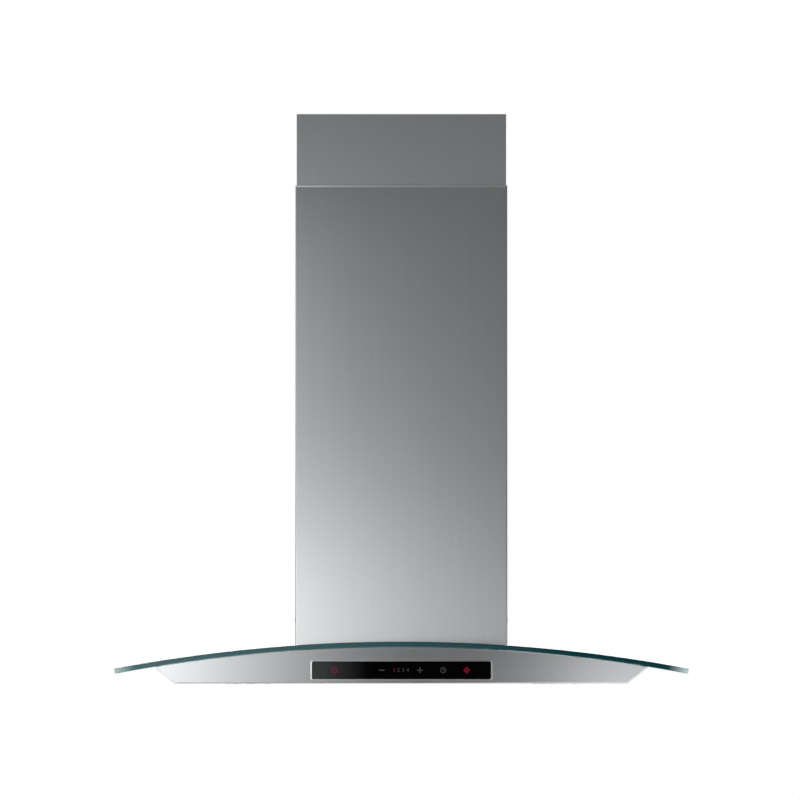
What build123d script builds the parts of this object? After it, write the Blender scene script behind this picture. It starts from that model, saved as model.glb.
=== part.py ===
from build123d import *

import os
from math import cos, radians, sin, sqrt, tan

# Wall-mounted chimney range hood with a bent glass canopy, in millimetres.
# The wall is the plane y = 0 and the front faces -y. "Distance" below means how far a thing
# stands in front of the wall, and "height" how far above the canopy's lower edge.
# The origin is the middle of the four wall screw holes, on the wall.

# Clearances
FIT = 0.3
BEND_FIT = 0.2
RUNNING_FIT = 0.06
HOLE_FIT = 0.25

# Canopy: a shallow flared steel tray under the glass
FIXING_HEIGHT = 210.0
BACK = 2.0
SHEET = 1.0
FOLD_RADIUS = 1.6
CANOPY_WIDTH = 708.0
CANOPY_DEPTH = 471.0
CANOPY_FLARE = 52.0
FASCIA_HEIGHT = 56.4
FRONT_BAY = 76.0
FASCIA = BACK + CANOPY_DEPTH
DIVIDER = FASCIA - FRONT_BAY

# Glass: bent about an axis along y, concentric with its seat on the canopy
GLASS_WIDTH = 900.0
GLASS_DEPTH = 488.0
GLASS_THICKNESS = 8.0
GLASS_CORNER = 25.0
GLASS_EDGE = 0.8
BEND_RADIUS = 2420.0
SEAL_GAP = 1.0
SEAL_WIDTH = 8.0
SEAL_INSET = 1.2
GLASS_FRONT = BACK + GLASS_DEPTH
GLASS_LOW = BEND_RADIUS + SEAL_GAP
GLASS_HIGH = GLASS_LOW + GLASS_THICKNESS
CLAMP_LOW = GLASS_HIGH + BEND_FIT
CLAMP_HIGH = CLAMP_LOW + SHEET

# Telescopic chimney
CHIMNEY_WIDTH = 333.0
CHIMNEY_DEPTH = 278.0
CHIMNEY_TOP = 782.0
CHIMNEY_SHEET = 0.8
TELESCOPE_GAP = 1.1
RETURN_FLANGE = 10.0
UPPER_LENGTH = 450.0
UPPER_EXPOSED = 112.0
VENT_COUNT = 6
VENT_LENGTH = 90.0
VENT_WIDTH = 4.0
VENT_PITCH = 10.0
VENT_BELOW_TOP = 64.0
GLIDE_LENGTH = 26.0
GLIDE_WIDTH = 12.0
GLIDE_BELOW_TOP = 14.0
TELESCOPE_STEP = CHIMNEY_SHEET + TELESCOPE_GAP
UPPER_WIDTH = CHIMNEY_WIDTH - 2 * TELESCOPE_STEP
UPPER_DEPTH = CHIMNEY_DEPTH - 2 * TELESCOPE_STEP
UPPER_BACK = BACK + TELESCOPE_STEP
UPPER_TOP = CHIMNEY_TOP + UPPER_EXPOSED
UPPER_INNER_HALF = UPPER_WIDTH / 2 - CHIMNEY_SHEET
UPPER_INNER_FRONT = UPPER_BACK + UPPER_DEPTH - CHIMNEY_SHEET

# Wall bracket of the upper chimney
BRACKET_SHEET = 2.0
BRACKET_HEIGHT = 26.0
BRACKET_BELOW_TOP = 4.0
BRACKET_REACH = 20.0
BRACKET_TAB = 40.0
BRACKET_INSET = 22.0
BRACKET_HOLE_SPACING = 200.0
BRACKET_HOLE_RADIUS = 4.0
BRACKET_ARM = UPPER_INNER_HALF - BRACKET_INSET
BRACKET_HEIGHT_MID = UPPER_TOP - BRACKET_BELOW_TOP - BRACKET_HEIGHT / 2
BRACKET_SCREW_DISTANCE = BRACKET_REACH + BRACKET_SHEET + BRACKET_TAB / 2

# Blower box, standing on the canopy inside the chimney
CLAMP_FLANGE = 30.0
CLAMP_SIDE_GAP = 5.7
NOTCH_GAP = 4.0
ELECTRONICS_DEPTH = 27.0
ELECTRONICS_GAP = 12.0
CABLE_SPACE = 14.0
REAR_SPACE = 8.0
INLET_SPACE = 39.2
OUTLET_RISE = 44.0
INLET_BORDER = 4.0
ROOF_SEAM = 0.2
BOX_HALF = CHIMNEY_WIDTH / 2 - CHIMNEY_SHEET - CLAMP_SIDE_GAP - CLAMP_FLANGE
BOX_FRONT = UPPER_INNER_FRONT - ELECTRONICS_GAP - ELECTRONICS_DEPTH
CLAMP_HALF = BOX_HALF + CLAMP_FLANGE
CLAMP_FRONT = BOX_FRONT + CLAMP_FLANGE
NOTCH_HALF = BOX_HALF + NOTCH_GAP
NOTCH_FRONT = BOX_FRONT + NOTCH_GAP

# Fan: double-inlet wheel in a two-part scroll, axis along x, blowing upwards
SCROLL_WALL = 2.0
SCROLL_HALF = 75.0
SCROLL_GROWTH = 14.0
SCROLL_TONGUE = 58.0
WHEEL_GAP = 7.0
WHEEL_END_GAP = 7.0
BLADE_COUNT = 36
BLADE_DEPTH = 14.0
BLADE_THICKNESS = 1.0
BLADE_LEAN = 7.0
RING_WIDTH = 6.0
RING_THICKNESS = 2.0
HUB_RADIUS = 12.0
INNER_DEPTH = BOX_FRONT - BACK - 2 * SHEET - CABLE_SPACE - REAR_SPACE
SCROLL_RADIUS = (INNER_DEPTH - SCROLL_GROWTH - 2 * SCROLL_WALL) / 2
WHEEL_RADIUS = SCROLL_RADIUS - WHEEL_GAP
WHEEL_HALF = SCROLL_HALF - WHEEL_END_GAP
INLET_RADIUS = WHEEL_RADIUS - BLADE_DEPTH
FAN_DISTANCE = BOX_FRONT - SHEET - CABLE_SPACE - SCROLL_WALL - SCROLL_RADIUS
FAN_HEIGHT = FASCIA_HEIGHT + INLET_SPACE + SCROLL_WALL + SCROLL_RADIUS
LID_HEIGHT = FAN_HEIGHT + SCROLL_RADIUS + SCROLL_GROWTH + OUTLET_RISE
OUTLET_FRONT = SCROLL_RADIUS * cos(radians(SCROLL_TONGUE))
OUTLET_BACK = -(SCROLL_RADIUS + SCROLL_GROWTH)

# Motor, inside the right half of the wheel
MOTOR_RADIUS = 48.0
MOTOR_WALL = 1.5
MOTOR_START = 12.0
SHIELD_THICKNESS = 3.0
STATOR_LENGTH = 36.0
STATOR_BORE = 29.0
AIR_GAP = 0.5
SHAFT_RADIUS = 4.0
BEARING_RADIUS = 11.0
BEARING_WIDTH = 8.0
BRACKET_PLATE = 2.0
BRACKET_ARM_WIDTH = 18.0
MOTOR_END = SCROLL_HALF + SCROLL_WALL - SHIELD_THICKNESS
SPIDER_RADIUS = INLET_RADIUS + 8.0

# Outlet collar and its backdraught flaps
COLLAR_RADIUS = 75.0
COLLAR_WALL = 2.0
COLLAR_HEIGHT = 52.0
COLLAR_FLANGE = 13.0
COLLAR_FLANGE_THICKNESS = 1.5
FLAP_AXIS_RISE = 22.0
FLAP_THICKNESS = 1.5
FLAP_GAP = 1.0
FLAP_PIN_RADIUS = 2.0
KNUCKLE_RADIUS = 4.0
KNUCKLE_LENGTH = 19.0
KNUCKLE_PITCH = 20.0
LEDGE_WIDTH = 3.0
COLLAR_DISTANCE = FAN_DISTANCE + (OUTLET_FRONT + OUTLET_BACK) / 2
COLLAR_BORE = COLLAR_RADIUS - COLLAR_WALL

# Wall plate behind the blower box
WALL_PLATE_HEIGHT = 230.0
WALL_HOLE_SPACING = 180.0
WALL_HOLE_RADIUS = 4.0
WALL_EAR = 21.0
WALL_PLATE_HALF = BOX_HALF + WALL_EAR
WALL_HOLE_HALF = BOX_HALF + WALL_EAR / 2

# Brackets that tie the lower chimney to the blower box
TIE_HEIGHT = 100.0
TIE_DISTANCE = 120.0
TIE_WIDTH = 28.0
TIE_TAB = 24.0
TIE_SHEET = 1.5

# Electronics on the front of the blower box
ELECTRONICS_WIDTH = 170.0
ELECTRONICS_HEIGHT = 110.0
ELECTRONICS_WALL = 1.5
ELECTRONICS_MID = 215.0
BOARD_THICKNESS = 1.6
BOARD_STANDOFF = 5.0
GLAND_BORE = 4.0
GLAND_RADIUS = 9.0
GLAND_LENGTH = 16.0
CAPACITOR_RADIUS = 17.0
CAPACITOR_HEIGHT = 52.0
CAPACITOR_X = 92.0

# Touch control in the fascia
CONTROL_WIDTH = 280.0
CONTROL_HEIGHT = 27.7
CONTROL_MID = 20.7
CONTROL_THICKNESS = 3.0
CONTROL_CORNER = 2.6
BEZEL_RIM = 0.9
BEZEL_SLEEVE = 1.2
BEZEL_PROUD = 0.6
BEZEL_DEPTH = 5.0
CONTROL_SINK = 0.2
TRAY_DEPTH = 18.0
TRAY_MARGIN = 6.0
TRAY_WALL = 1.5
LED_SIZE = 3.0
LED_HEIGHT = 1.2
LED_PLACES = (-104.5, -30.8, -11.7, -5.0, 2.6, 10.0, 29.0, 65.4, 102.0)

# Lamps in the front bay of the canopy's floor
LAMP_OFFSET = 240.0
LAMP_RADIUS = 30.0
LAMP_RIM = 4.0
LAMP_RIM_THICKNESS = 0.5
LAMP_WALL = 1.5
LAMP_DEPTH = 20.0
LENS_THICKNESS = 2.0
LAMP_BOARD_RISE = 9.0
LAMP_DISTANCE = (DIVIDER + FASCIA) / 2

# Grease filters, two side by side in the canopy's floor
SIDE_BORDER = 26.0
REAR_BORDER = 58.0
CENTRE_BAR = 16.0
CLIP_SPACE = 16.0
FILTER_GAP = 1.0
FILTER_LIFT = 0.3
FILTER_THICKNESS = 9.0
FILTER_LIP = 12.0
FILTER_WEB = 1.2
FILTER_CORNER = 4.0
FILTER_PIVOT_INSET = 8.0
FILTER_PIN_RADIUS = 2.5
FILTER_PIN_LENGTH = 6.0
PIVOT_BLOCK_DEPTH = 12.0
PIVOT_BLOCK_WIDTH = 6.0
MESH_ROWS = 15
MESH_CELL = 11.0
MESH_THICKNESS = 2.0
HANDLE_WIDTH = 80.0
HANDLE_DEPTH = 26.0
HANDLE_HEIGHT = 7.5
HANDLE_WALL = 1.5
HANDLE_BAR = 6.0
CLIP_WIDTH = 40.0
CLIP_SHEET = 0.6
CLIP_NOSE = 0.9
CLIP_SLOT = 44.0
OPENING_WIDTH = (CANOPY_WIDTH - 2 * SIDE_BORDER - CENTRE_BAR) / 2
OPENING_BACK = BACK + REAR_BORDER
OPENING_FRONT = DIVIDER - CLIP_SPACE
OPENING_DEPTH = OPENING_FRONT - OPENING_BACK
OPENING_X = (CENTRE_BAR + OPENING_WIDTH) / 2
OPENING_MID = (OPENING_BACK + OPENING_FRONT) / 2
FILTER_WIDTH = OPENING_WIDTH - 2 * FILTER_GAP
FILTER_DEPTH = OPENING_DEPTH - 2 * FILTER_GAP
FILTER_BACK = OPENING_BACK + FILTER_GAP
FILTER_FRONT = OPENING_FRONT - FILTER_GAP
FILTER_PIVOT_HEIGHT = FILTER_LIFT + FILTER_THICKNESS / 2
FILTER_PIVOT_DISTANCE = FILTER_BACK + FILTER_PIVOT_INSET

# Wiring and fasteners
CABLE_RADIUS = 2.5
CABLE_X = 70.0
CABLE_TRAY_HEIGHT = 30.0
CABLE_ROOF_HEIGHT = 47.0
CABLE_BOX_HEIGHT = 190.0
CABLE_BEND = 9.0
LEAD_RADIUS = 1.5
LEAD_HEIGHT = 14.0
GLASS_SCREW_RADIUS = 2.5
GLASS_SCREW_HEAD = 5.0
GLASS_SCREW_HEAD_HEIGHT = 3.0
BUSH_RADIUS = 4.8
NUT_RADIUS = 4.6
NUT_HEIGHT = 4.0
SMALL_SCREW_RADIUS = 2.0
SMALL_SCREW_HEAD = 4.0
SMALL_SCREW_HEAD_HEIGHT = 0.8
SMALL_SCREW_LENGTH = 6.0
CLAMP_SCREW_X = BOX_HALF + 0.6 * CLAMP_FLANGE
CLAMP_SCREW_DISTANCES = (BACK + 40.0, BOX_FRONT - 25.0)

SIDES = ((-1, "left"), (1, "right"))


def level(height):
    """Model z of a height above the canopy's lower edge."""
    return height - FIXING_HEIGHT


BEND_CENTRE = level(FASCIA_HEIGHT) - BEND_RADIUS
FAN_PLANE = Plane(origin=(0, -FAN_DISTANCE, level(FAN_HEIGHT)), x_dir=(0, 1, 0), z_dir=(1, 0, 0))

os.makedirs("parts", exist_ok=True)


def save(piece, name):
    """Labels a finished piece and writes it under its node's name."""
    piece.label = name
    export_step(piece, f"parts/{name}.step")


def bend_plane(x, distance, radius):
    """Plane square to the bend at a point of the given radius, facing up."""
    rise = sqrt(radius**2 - x**2)
    return Plane(origin=(x, -distance, BEND_CENTRE + rise), x_dir=(0, 1, 0), z_dir=(x, 0, rise))


def side_plane(side, x, distance, height):
    """Plane facing out to the left or right at a point."""
    return Plane(origin=(side * x, -distance, level(height)), x_dir=(0, 1, 0), z_dir=(side, 0, 0))


def bent_band(inner_radius, outer_radius, half_width, near, far):
    """Band between two bend radii, from one distance to another."""
    with BuildPart() as band:
        with BuildSketch(Plane.XZ.offset(near)):
            with Locations((0, BEND_CENTRE)):
                Circle(outer_radius)
                Circle(inner_radius, mode=Mode.SUBTRACT)
            with Locations((0, BEND_CENTRE + outer_radius)):
                Rectangle(2 * half_width, half_width, mode=Mode.INTERSECT)
        extrude(amount=far - near)
    return band.part


def canopy_half_width(height, inset):
    """Half the width of the flared section at a height, drawn in by a sheet's thickness."""
    flare = radians(CANOPY_FLARE)
    return CANOPY_WIDTH / 2 + height * tan(flare) - inset / cos(flare)


def canopy_prism(inset, floor, roof_radius, near, far):
    """Solid of the flared section under a bent roof."""
    roof = FASCIA_HEIGHT + GLASS_THICKNESS
    with BuildPart() as prism:
        with BuildSketch(Plane.XZ.offset(near)):
            Polygon(
                (-canopy_half_width(floor, inset), level(floor)),
                (canopy_half_width(floor, inset), level(floor)),
                (canopy_half_width(roof, inset), level(roof)),
                (-canopy_half_width(roof, inset), level(roof)),
                align=None,
            )
            with Locations((0, BEND_CENTRE)):
                Circle(roof_radius, mode=Mode.INTERSECT)
        extrude(amount=far - near)
    return prism.part


def rim_half_width():
    """Half the width of the canopy where its flared sides meet the bent seat."""
    slope = tan(radians(CANOPY_FLARE))
    drop = BEND_RADIUS - FASCIA_HEIGHT
    linear = slope * CANOPY_WIDTH / 2 + drop
    square = slope**2 + 1
    constant = (CANOPY_WIDTH / 2) ** 2 + drop**2 - BEND_RADIUS**2
    height = (sqrt(linear**2 - square * constant) - linear) / square
    return canopy_half_width(height, 0)


def screws(planes, radius, length, head_radius, head_height):
    """Cross-head screws with their heads on the given planes."""
    with BuildPart() as group:
        for plane in planes:
            with BuildSketch(plane):
                Circle(radius)
            extrude(amount=-length)
            with BuildSketch(plane):
                Circle(head_radius)
            extrude(amount=head_height, taper=18)
            with BuildSketch(plane.offset(head_height)):
                Rectangle(head_radius, head_radius / 4)
                Rectangle(head_radius / 4, head_radius)
            extrude(amount=-head_height / 2, mode=Mode.SUBTRACT)
    return group.part


# Canopy shell: front, flared sides, back and floor folded from one sheet
shell_outside = canopy_prism(0, 0, BEND_RADIUS, BACK, FASCIA)
shell_inside = canopy_prism(SHEET, SHEET, GLASS_HIGH, BACK + SHEET, FASCIA - SHEET)
with BuildPart() as canopy_shell:
    add(shell_outside)
    front_edges = canopy_shell.edges().group_by(Axis.Y)[0].sort_by(Axis.Z)[:3]
    side_folds = canopy_shell.edges().group_by(Axis.Z)[0].filter_by(Axis.Y)
    fillet(front_edges + side_folds, FOLD_RADIUS)
    add(shell_inside, mode=Mode.SUBTRACT)
    with BuildSketch(Plane.XY.offset(level(0))):
        with Locations((0, -OPENING_MID)):
            with GridLocations(2 * OPENING_X, 0, 2, 1):
                Rectangle(OPENING_WIDTH, OPENING_DEPTH)
        with Locations((0, -LAMP_DISTANCE)):
            with GridLocations(2 * LAMP_OFFSET, 0, 2, 1):
                Circle(LAMP_RADIUS + FIT)
    extrude(amount=SHEET, mode=Mode.SUBTRACT)
    with BuildSketch(Plane.XZ.offset(FASCIA)):
        with Locations((0, level(CONTROL_MID))):
            window_margin = 2 * (2 * FIT + BEZEL_SLEEVE)
            RectangleRounded(
                CONTROL_WIDTH + window_margin,
                CONTROL_HEIGHT + window_margin,
                CONTROL_CORNER + BEZEL_SLEEVE,
            )
    extrude(amount=-SHEET, mode=Mode.SUBTRACT)
save(canopy_shell.part, "canopy_shell")

# Top plate: two wings and two cross strips welded up round the blower's inlet, with weld nuts
plate_outside = canopy_prism(SHEET + FIT, 0, BEND_RADIUS, BACK + SHEET + FIT, FASCIA - SHEET - FIT)
plate_under = canopy_prism(0, 0, BEND_RADIUS - SHEET, BACK, FASCIA)
clamp_planes = [
    bend_plane(side * CLAMP_SCREW_X, distance, CLAMP_HIGH)
    for side, _ in SIDES
    for distance in CLAMP_SCREW_DISTANCES
]
CLAMP_STACK = CLAMP_HIGH - BEND_RADIUS + SHEET
with BuildPart() as canopy_top_plate:
    add(plate_outside)
    add(plate_under, mode=Mode.SUBTRACT)
    with BuildSketch(Plane.XY.offset(level(0))):
        with Locations((0, -(BACK + BOX_FRONT) / 2)):
            Rectangle(2 * (BOX_HALF - INLET_BORDER), BOX_FRONT - BACK - 2 * INLET_BORDER)
        with GridLocations(2 * (BOX_HALF - INLET_BORDER) + ROOF_SEAM, 0, 2, 1):
            Rectangle(ROOF_SEAM, 2 * FASCIA)
    extrude(amount=FASCIA_HEIGHT, mode=Mode.SUBTRACT)
    for plane in clamp_planes:
        with BuildSketch(plane.offset(-CLAMP_STACK + SHEET / 2)):
            RegularPolygon(NUT_RADIUS, 6)
        extrude(amount=-NUT_HEIGHT)
        with BuildSketch(plane):
            Circle(GLASS_SCREW_RADIUS + RUNNING_FIT)
        extrude(amount=-2 * CLAMP_STACK, mode=Mode.SUBTRACT)
save(canopy_top_plate.part, "canopy_top_plate")

# Divider: keeps the lamps and the touch board out of the air stream
divider_sheet = canopy_prism(
    SHEET + FIT, SHEET, BEND_RADIUS - SHEET - FIT, DIVIDER, DIVIDER + SHEET
)
with BuildPart() as plenum_divider:
    add(divider_sheet)
    with BuildSketch(Plane.XZ.offset(DIVIDER)):
        with Locations((CABLE_X, level(CABLE_ROOF_HEIGHT))):
            Circle(CABLE_RADIUS + 2 * HOLE_FIT)
    extrude(amount=SHEET, mode=Mode.SUBTRACT)
save(plenum_divider.part, "plenum_divider")

# Glass: one bent pane, notched at the back to pass the blower box
glass_blank = bent_band(GLASS_LOW, GLASS_HIGH, GLASS_WIDTH / 2, BACK, GLASS_FRONT)
with BuildPart() as glass_canopy:
    add(glass_blank)
    fillet(glass_canopy.edges().filter_by(Axis.Z).group_by(Axis.Y)[0], GLASS_CORNER)
    broad_faces = glass_canopy.faces().sort_by(SortBy.AREA)[-2:]
    rim_edges = [edge for face in broad_faces for edge in face.outer_wire().edges()]
    chamfer(rim_edges, GLASS_EDGE)
    with BuildSketch(Plane.XY.offset(level(0))):
        with Locations((0, -BACK)):
            Rectangle(2 * NOTCH_HALF, 2 * (NOTCH_FRONT - BACK))
    extrude(amount=2 * FASCIA_HEIGHT, mode=Mode.SUBTRACT)
    for plane in clamp_planes:
        with BuildSketch(plane):
            Circle(BUSH_RADIUS + HOLE_FIT)
        extrude(amount=-CLAMP_STACK, mode=Mode.SUBTRACT)
save(glass_canopy.part, "glass_canopy")

# Seal: silicone strip between glass and canopy, along the rim and round the notch
rim_half = rim_half_width() - SEAL_INSET
seal_blank = bent_band(
    BEND_RADIUS + BEND_FIT, GLASS_LOW - BEND_FIT, rim_half, BACK + SEAL_INSET, FASCIA - SEAL_INSET
)
with BuildPart() as glass_seal:
    add(seal_blank)
    with BuildSketch(Plane.XY.offset(level(0))):
        with Locations((0, -BACK)):
            Rectangle(
                2 * (rim_half - SEAL_WIDTH), 2 * (FASCIA - SEAL_INSET - SEAL_WIDTH - BACK)
            )
            Rectangle(
                2 * (NOTCH_HALF + SEAL_WIDTH),
                2 * (NOTCH_FRONT + SEAL_WIDTH - BACK),
                mode=Mode.SUBTRACT,
            )
            Rectangle(2 * NOTCH_HALF, 2 * (NOTCH_FRONT - BACK))
    extrude(amount=FASCIA_HEIGHT + SEAL_GAP, mode=Mode.SUBTRACT)
save(glass_seal.part, "glass_seal")


# Chimney: two U-shaped sheets with return flanges, one sliding inside the other
def chimney_tube(width, depth, near, bottom, top):
    """Open-backed tube of folded sheet."""
    middle = (0, -(near + depth / 2))
    with BuildPart() as tube:
        with BuildSketch(Plane.XY.offset(level(bottom))):
            with Locations(middle):
                RectangleRounded(width, depth, FOLD_RADIUS)
                RectangleRounded(
                    width - 2 * CHIMNEY_SHEET,
                    depth - 2 * CHIMNEY_SHEET,
                    FOLD_RADIUS - CHIMNEY_SHEET,
                    mode=Mode.SUBTRACT,
                )
            with Locations((0, -near)):
                Rectangle(width - 2 * RETURN_FLANGE, 4 * CHIMNEY_SHEET, mode=Mode.SUBTRACT)
        extrude(amount=top - bottom)
    return tube.part


lower_tube = chimney_tube(CHIMNEY_WIDTH, CHIMNEY_DEPTH, BACK, FIXING_HEIGHT / 8, CHIMNEY_TOP)
with BuildPart() as lower_chimney:
    add(lower_tube)
    with BuildSketch(Plane.XZ):
        with Locations((0, BEND_CENTRE)):
            Circle(GLASS_HIGH + BEND_FIT)
    extrude(amount=GLASS_FRONT, mode=Mode.SUBTRACT)
    with BuildSketch(Plane.YZ):
        with Locations((-TIE_DISTANCE, level(TIE_HEIGHT))):
            Circle(SMALL_SCREW_RADIUS + HOLE_FIT)
    extrude(amount=CHIMNEY_WIDTH, both=True, mode=Mode.SUBTRACT)
save(lower_chimney.part, "lower_chimney")

upper_tube = chimney_tube(
    UPPER_WIDTH, UPPER_DEPTH, UPPER_BACK, UPPER_TOP - UPPER_LENGTH, UPPER_TOP
)
with BuildPart() as upper_chimney:
    add(upper_tube)
    with BuildSketch(Plane.YZ):
        with Locations((-(UPPER_BACK + UPPER_DEPTH / 2), level(UPPER_TOP - VENT_BELOW_TOP))):
            with GridLocations(0, VENT_PITCH, 1, VENT_COUNT):
                SlotOverall(VENT_LENGTH, VENT_WIDTH)
        with Locations((-BRACKET_SCREW_DISTANCE, level(BRACKET_HEIGHT_MID))):
            Circle(SMALL_SCREW_RADIUS + HOLE_FIT)
    extrude(amount=UPPER_WIDTH, both=True, mode=Mode.SUBTRACT)
save(upper_chimney.part, "upper_chimney")

# Glides: nylon pads inside the lower chimney's mouth that guide the upper one
LOWER_INNER_FRONT = BACK + CHIMNEY_DEPTH - CHIMNEY_SHEET
LOWER_INNER_HALF = CHIMNEY_WIDTH / 2 - CHIMNEY_SHEET
GLIDE_THICKNESS = TELESCOPE_GAP - FIT
glide_height = level(CHIMNEY_TOP - GLIDE_BELOW_TOP)
with BuildPart() as chimney_glides:
    with BuildSketch(Plane.XZ.offset(LOWER_INNER_FRONT)):
        with Locations((0, glide_height)):
            with GridLocations(CHIMNEY_WIDTH / 2, 0, 2, 1):
                RectangleRounded(GLIDE_LENGTH, GLIDE_WIDTH, GLIDE_WIDTH / 4)
    extrude(amount=-GLIDE_THICKNESS)
    for side, _ in SIDES:
        with BuildSketch(Plane.YZ.offset(side * LOWER_INNER_HALF)):
            with Locations((-(BACK + CHIMNEY_DEPTH / 2), glide_height)):
                with GridLocations(CHIMNEY_DEPTH / 2, 0, 2, 1):
                    RectangleRounded(GLIDE_LENGTH, GLIDE_WIDTH, GLIDE_WIDTH / 4)
        extrude(amount=-side * GLIDE_THICKNESS)
save(chimney_glides.part, "chimney_glides")

# Wall bracket: holds the top of the upper chimney to the wall
tab_x = UPPER_INNER_HALF - BEND_FIT - BRACKET_SHEET / 2
with BuildPart() as chimney_bracket:
    with BuildSketch(Plane.XY.offset(level(BRACKET_HEIGHT_MID - BRACKET_HEIGHT / 2))):
        with Locations((0, -BRACKET_SHEET / 2)):
            Rectangle(2 * BRACKET_ARM, BRACKET_SHEET)
        with Locations((0, -(BRACKET_REACH + BRACKET_SHEET) / 2)):
            with GridLocations(2 * BRACKET_ARM - BRACKET_SHEET, 0, 2, 1):
                Rectangle(BRACKET_SHEET, BRACKET_REACH + BRACKET_SHEET)
        with Locations((0, -BRACKET_REACH - BRACKET_SHEET / 2)):
            with GridLocations(BRACKET_ARM + tab_x, 0, 2, 1):
                Rectangle(tab_x - BRACKET_ARM + BRACKET_SHEET, BRACKET_SHEET)
        with Locations((0, -(BRACKET_REACH + (BRACKET_SHEET + BRACKET_TAB) / 2))):
            with GridLocations(2 * tab_x, 0, 2, 1):
                Rectangle(BRACKET_SHEET, BRACKET_TAB + BRACKET_SHEET)
    extrude(amount=BRACKET_HEIGHT)
    with BuildSketch(Plane.XZ):
        with Locations((0, level(BRACKET_HEIGHT_MID))):
            with GridLocations(BRACKET_HOLE_SPACING, 0, 2, 1):
                Circle(BRACKET_HOLE_RADIUS)
    extrude(amount=BRACKET_SHEET, mode=Mode.SUBTRACT)
    with BuildSketch(Plane.YZ):
        with Locations((-BRACKET_SCREW_DISTANCE, level(BRACKET_HEIGHT_MID))):
            Circle(SMALL_SCREW_RADIUS + RUNNING_FIT)
    extrude(amount=UPPER_WIDTH, both=True, mode=Mode.SUBTRACT)
save(chimney_bracket.part, "chimney_bracket")

upper_screw_planes = [
    side_plane(side, UPPER_WIDTH / 2, BRACKET_SCREW_DISTANCE, BRACKET_HEIGHT_MID)
    for side, _ in SIDES
]
upper_chimney_screws = screws(
    upper_screw_planes,
    SMALL_SCREW_RADIUS,
    SMALL_SCREW_LENGTH,
    SMALL_SCREW_HEAD,
    SMALL_SCREW_HEAD_HEIGHT,
)
save(upper_chimney_screws, "upper_chimney_screws")

# Blower box: four walls with a turned-out flange that clamps the glass
clamp_blank = bent_band(CLAMP_LOW, CLAMP_HIGH, CLAMP_HALF, BACK + NOTCH_GAP, CLAMP_FRONT)
box_middle = (0, -(BACK + BOX_FRONT) / 2)
with BuildPart() as blower_box:
    with BuildSketch(Plane.XY.offset(level(0))):
        with Locations(box_middle):
            Rectangle(2 * BOX_HALF, BOX_FRONT - BACK)
    extrude(amount=LID_HEIGHT)
    add(clamp_blank)
    with BuildSketch(Plane.XY.offset(level(0))):
        with Locations(box_middle):
            Rectangle(2 * (BOX_HALF - SHEET), BOX_FRONT - BACK - 2 * SHEET)
    extrude(amount=LID_HEIGHT, mode=Mode.SUBTRACT)
    with BuildSketch(Plane.XZ):
        with Locations((0, BEND_CENTRE)):
            Circle(BEND_RADIUS + BEND_FIT)
    extrude(amount=CLAMP_FRONT, mode=Mode.SUBTRACT)
    for plane in clamp_planes:
        with BuildSketch(plane):
            Circle(GLASS_SCREW_RADIUS + HOLE_FIT)
        extrude(amount=CLAMP_STACK, both=True, mode=Mode.SUBTRACT)
    with BuildSketch(Plane.XZ.offset(BOX_FRONT)):
        with Locations((CABLE_X, level(CABLE_BOX_HEIGHT))):
            Circle(CABLE_RADIUS + 2 * HOLE_FIT)
    extrude(amount=-SHEET, mode=Mode.SUBTRACT)
save(blower_box.part, "blower_box")

# Lid of the blower box, with the outlet cut in it
with BuildPart() as blower_lid:
    with BuildSketch(Plane.XY.offset(level(LID_HEIGHT))):
        with Locations(box_middle):
            RectangleRounded(2 * BOX_HALF, BOX_FRONT - BACK, FOLD_RADIUS)
        with Locations((0, -COLLAR_DISTANCE)):
            Circle(COLLAR_BORE, mode=Mode.SUBTRACT)
    extrude(amount=SHEET)
save(blower_lid.part, "blower_lid")

# Wall plate: the hood hangs from its four holes
with BuildPart() as wall_plate:
    with BuildSketch(Plane.XZ):
        RectangleRounded(2 * WALL_PLATE_HALF, WALL_PLATE_HEIGHT, WALL_EAR / 3)
        with GridLocations(2 * WALL_HOLE_HALF, WALL_HOLE_SPACING, 2, 2):
            Circle(WALL_HOLE_RADIUS, mode=Mode.SUBTRACT)
    extrude(amount=BACK)
save(wall_plate.part, "wall_plate")

# Fixings of the glass: bushes in its holes and screws down into the weld nuts
bush_planes = [
    bend_plane(side * CLAMP_SCREW_X, distance, GLASS_HIGH)
    for side, _ in SIDES
    for distance in CLAMP_SCREW_DISTANCES
]
with BuildPart() as glass_bushes:
    for plane in bush_planes:
        with BuildSketch(plane):
            Circle(BUSH_RADIUS)
            Circle(GLASS_SCREW_RADIUS + HOLE_FIT, mode=Mode.SUBTRACT)
        extrude(amount=-(GLASS_THICKNESS + SEAL_GAP - BEND_FIT))
save(glass_bushes.part, "glass_bushes")

glass_screws = screws(
    clamp_planes,
    GLASS_SCREW_RADIUS,
    CLAMP_STACK + NUT_HEIGHT,
    GLASS_SCREW_HEAD,
    GLASS_SCREW_HEAD_HEIGHT,
)
save(glass_screws, "glass_screws")

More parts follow.
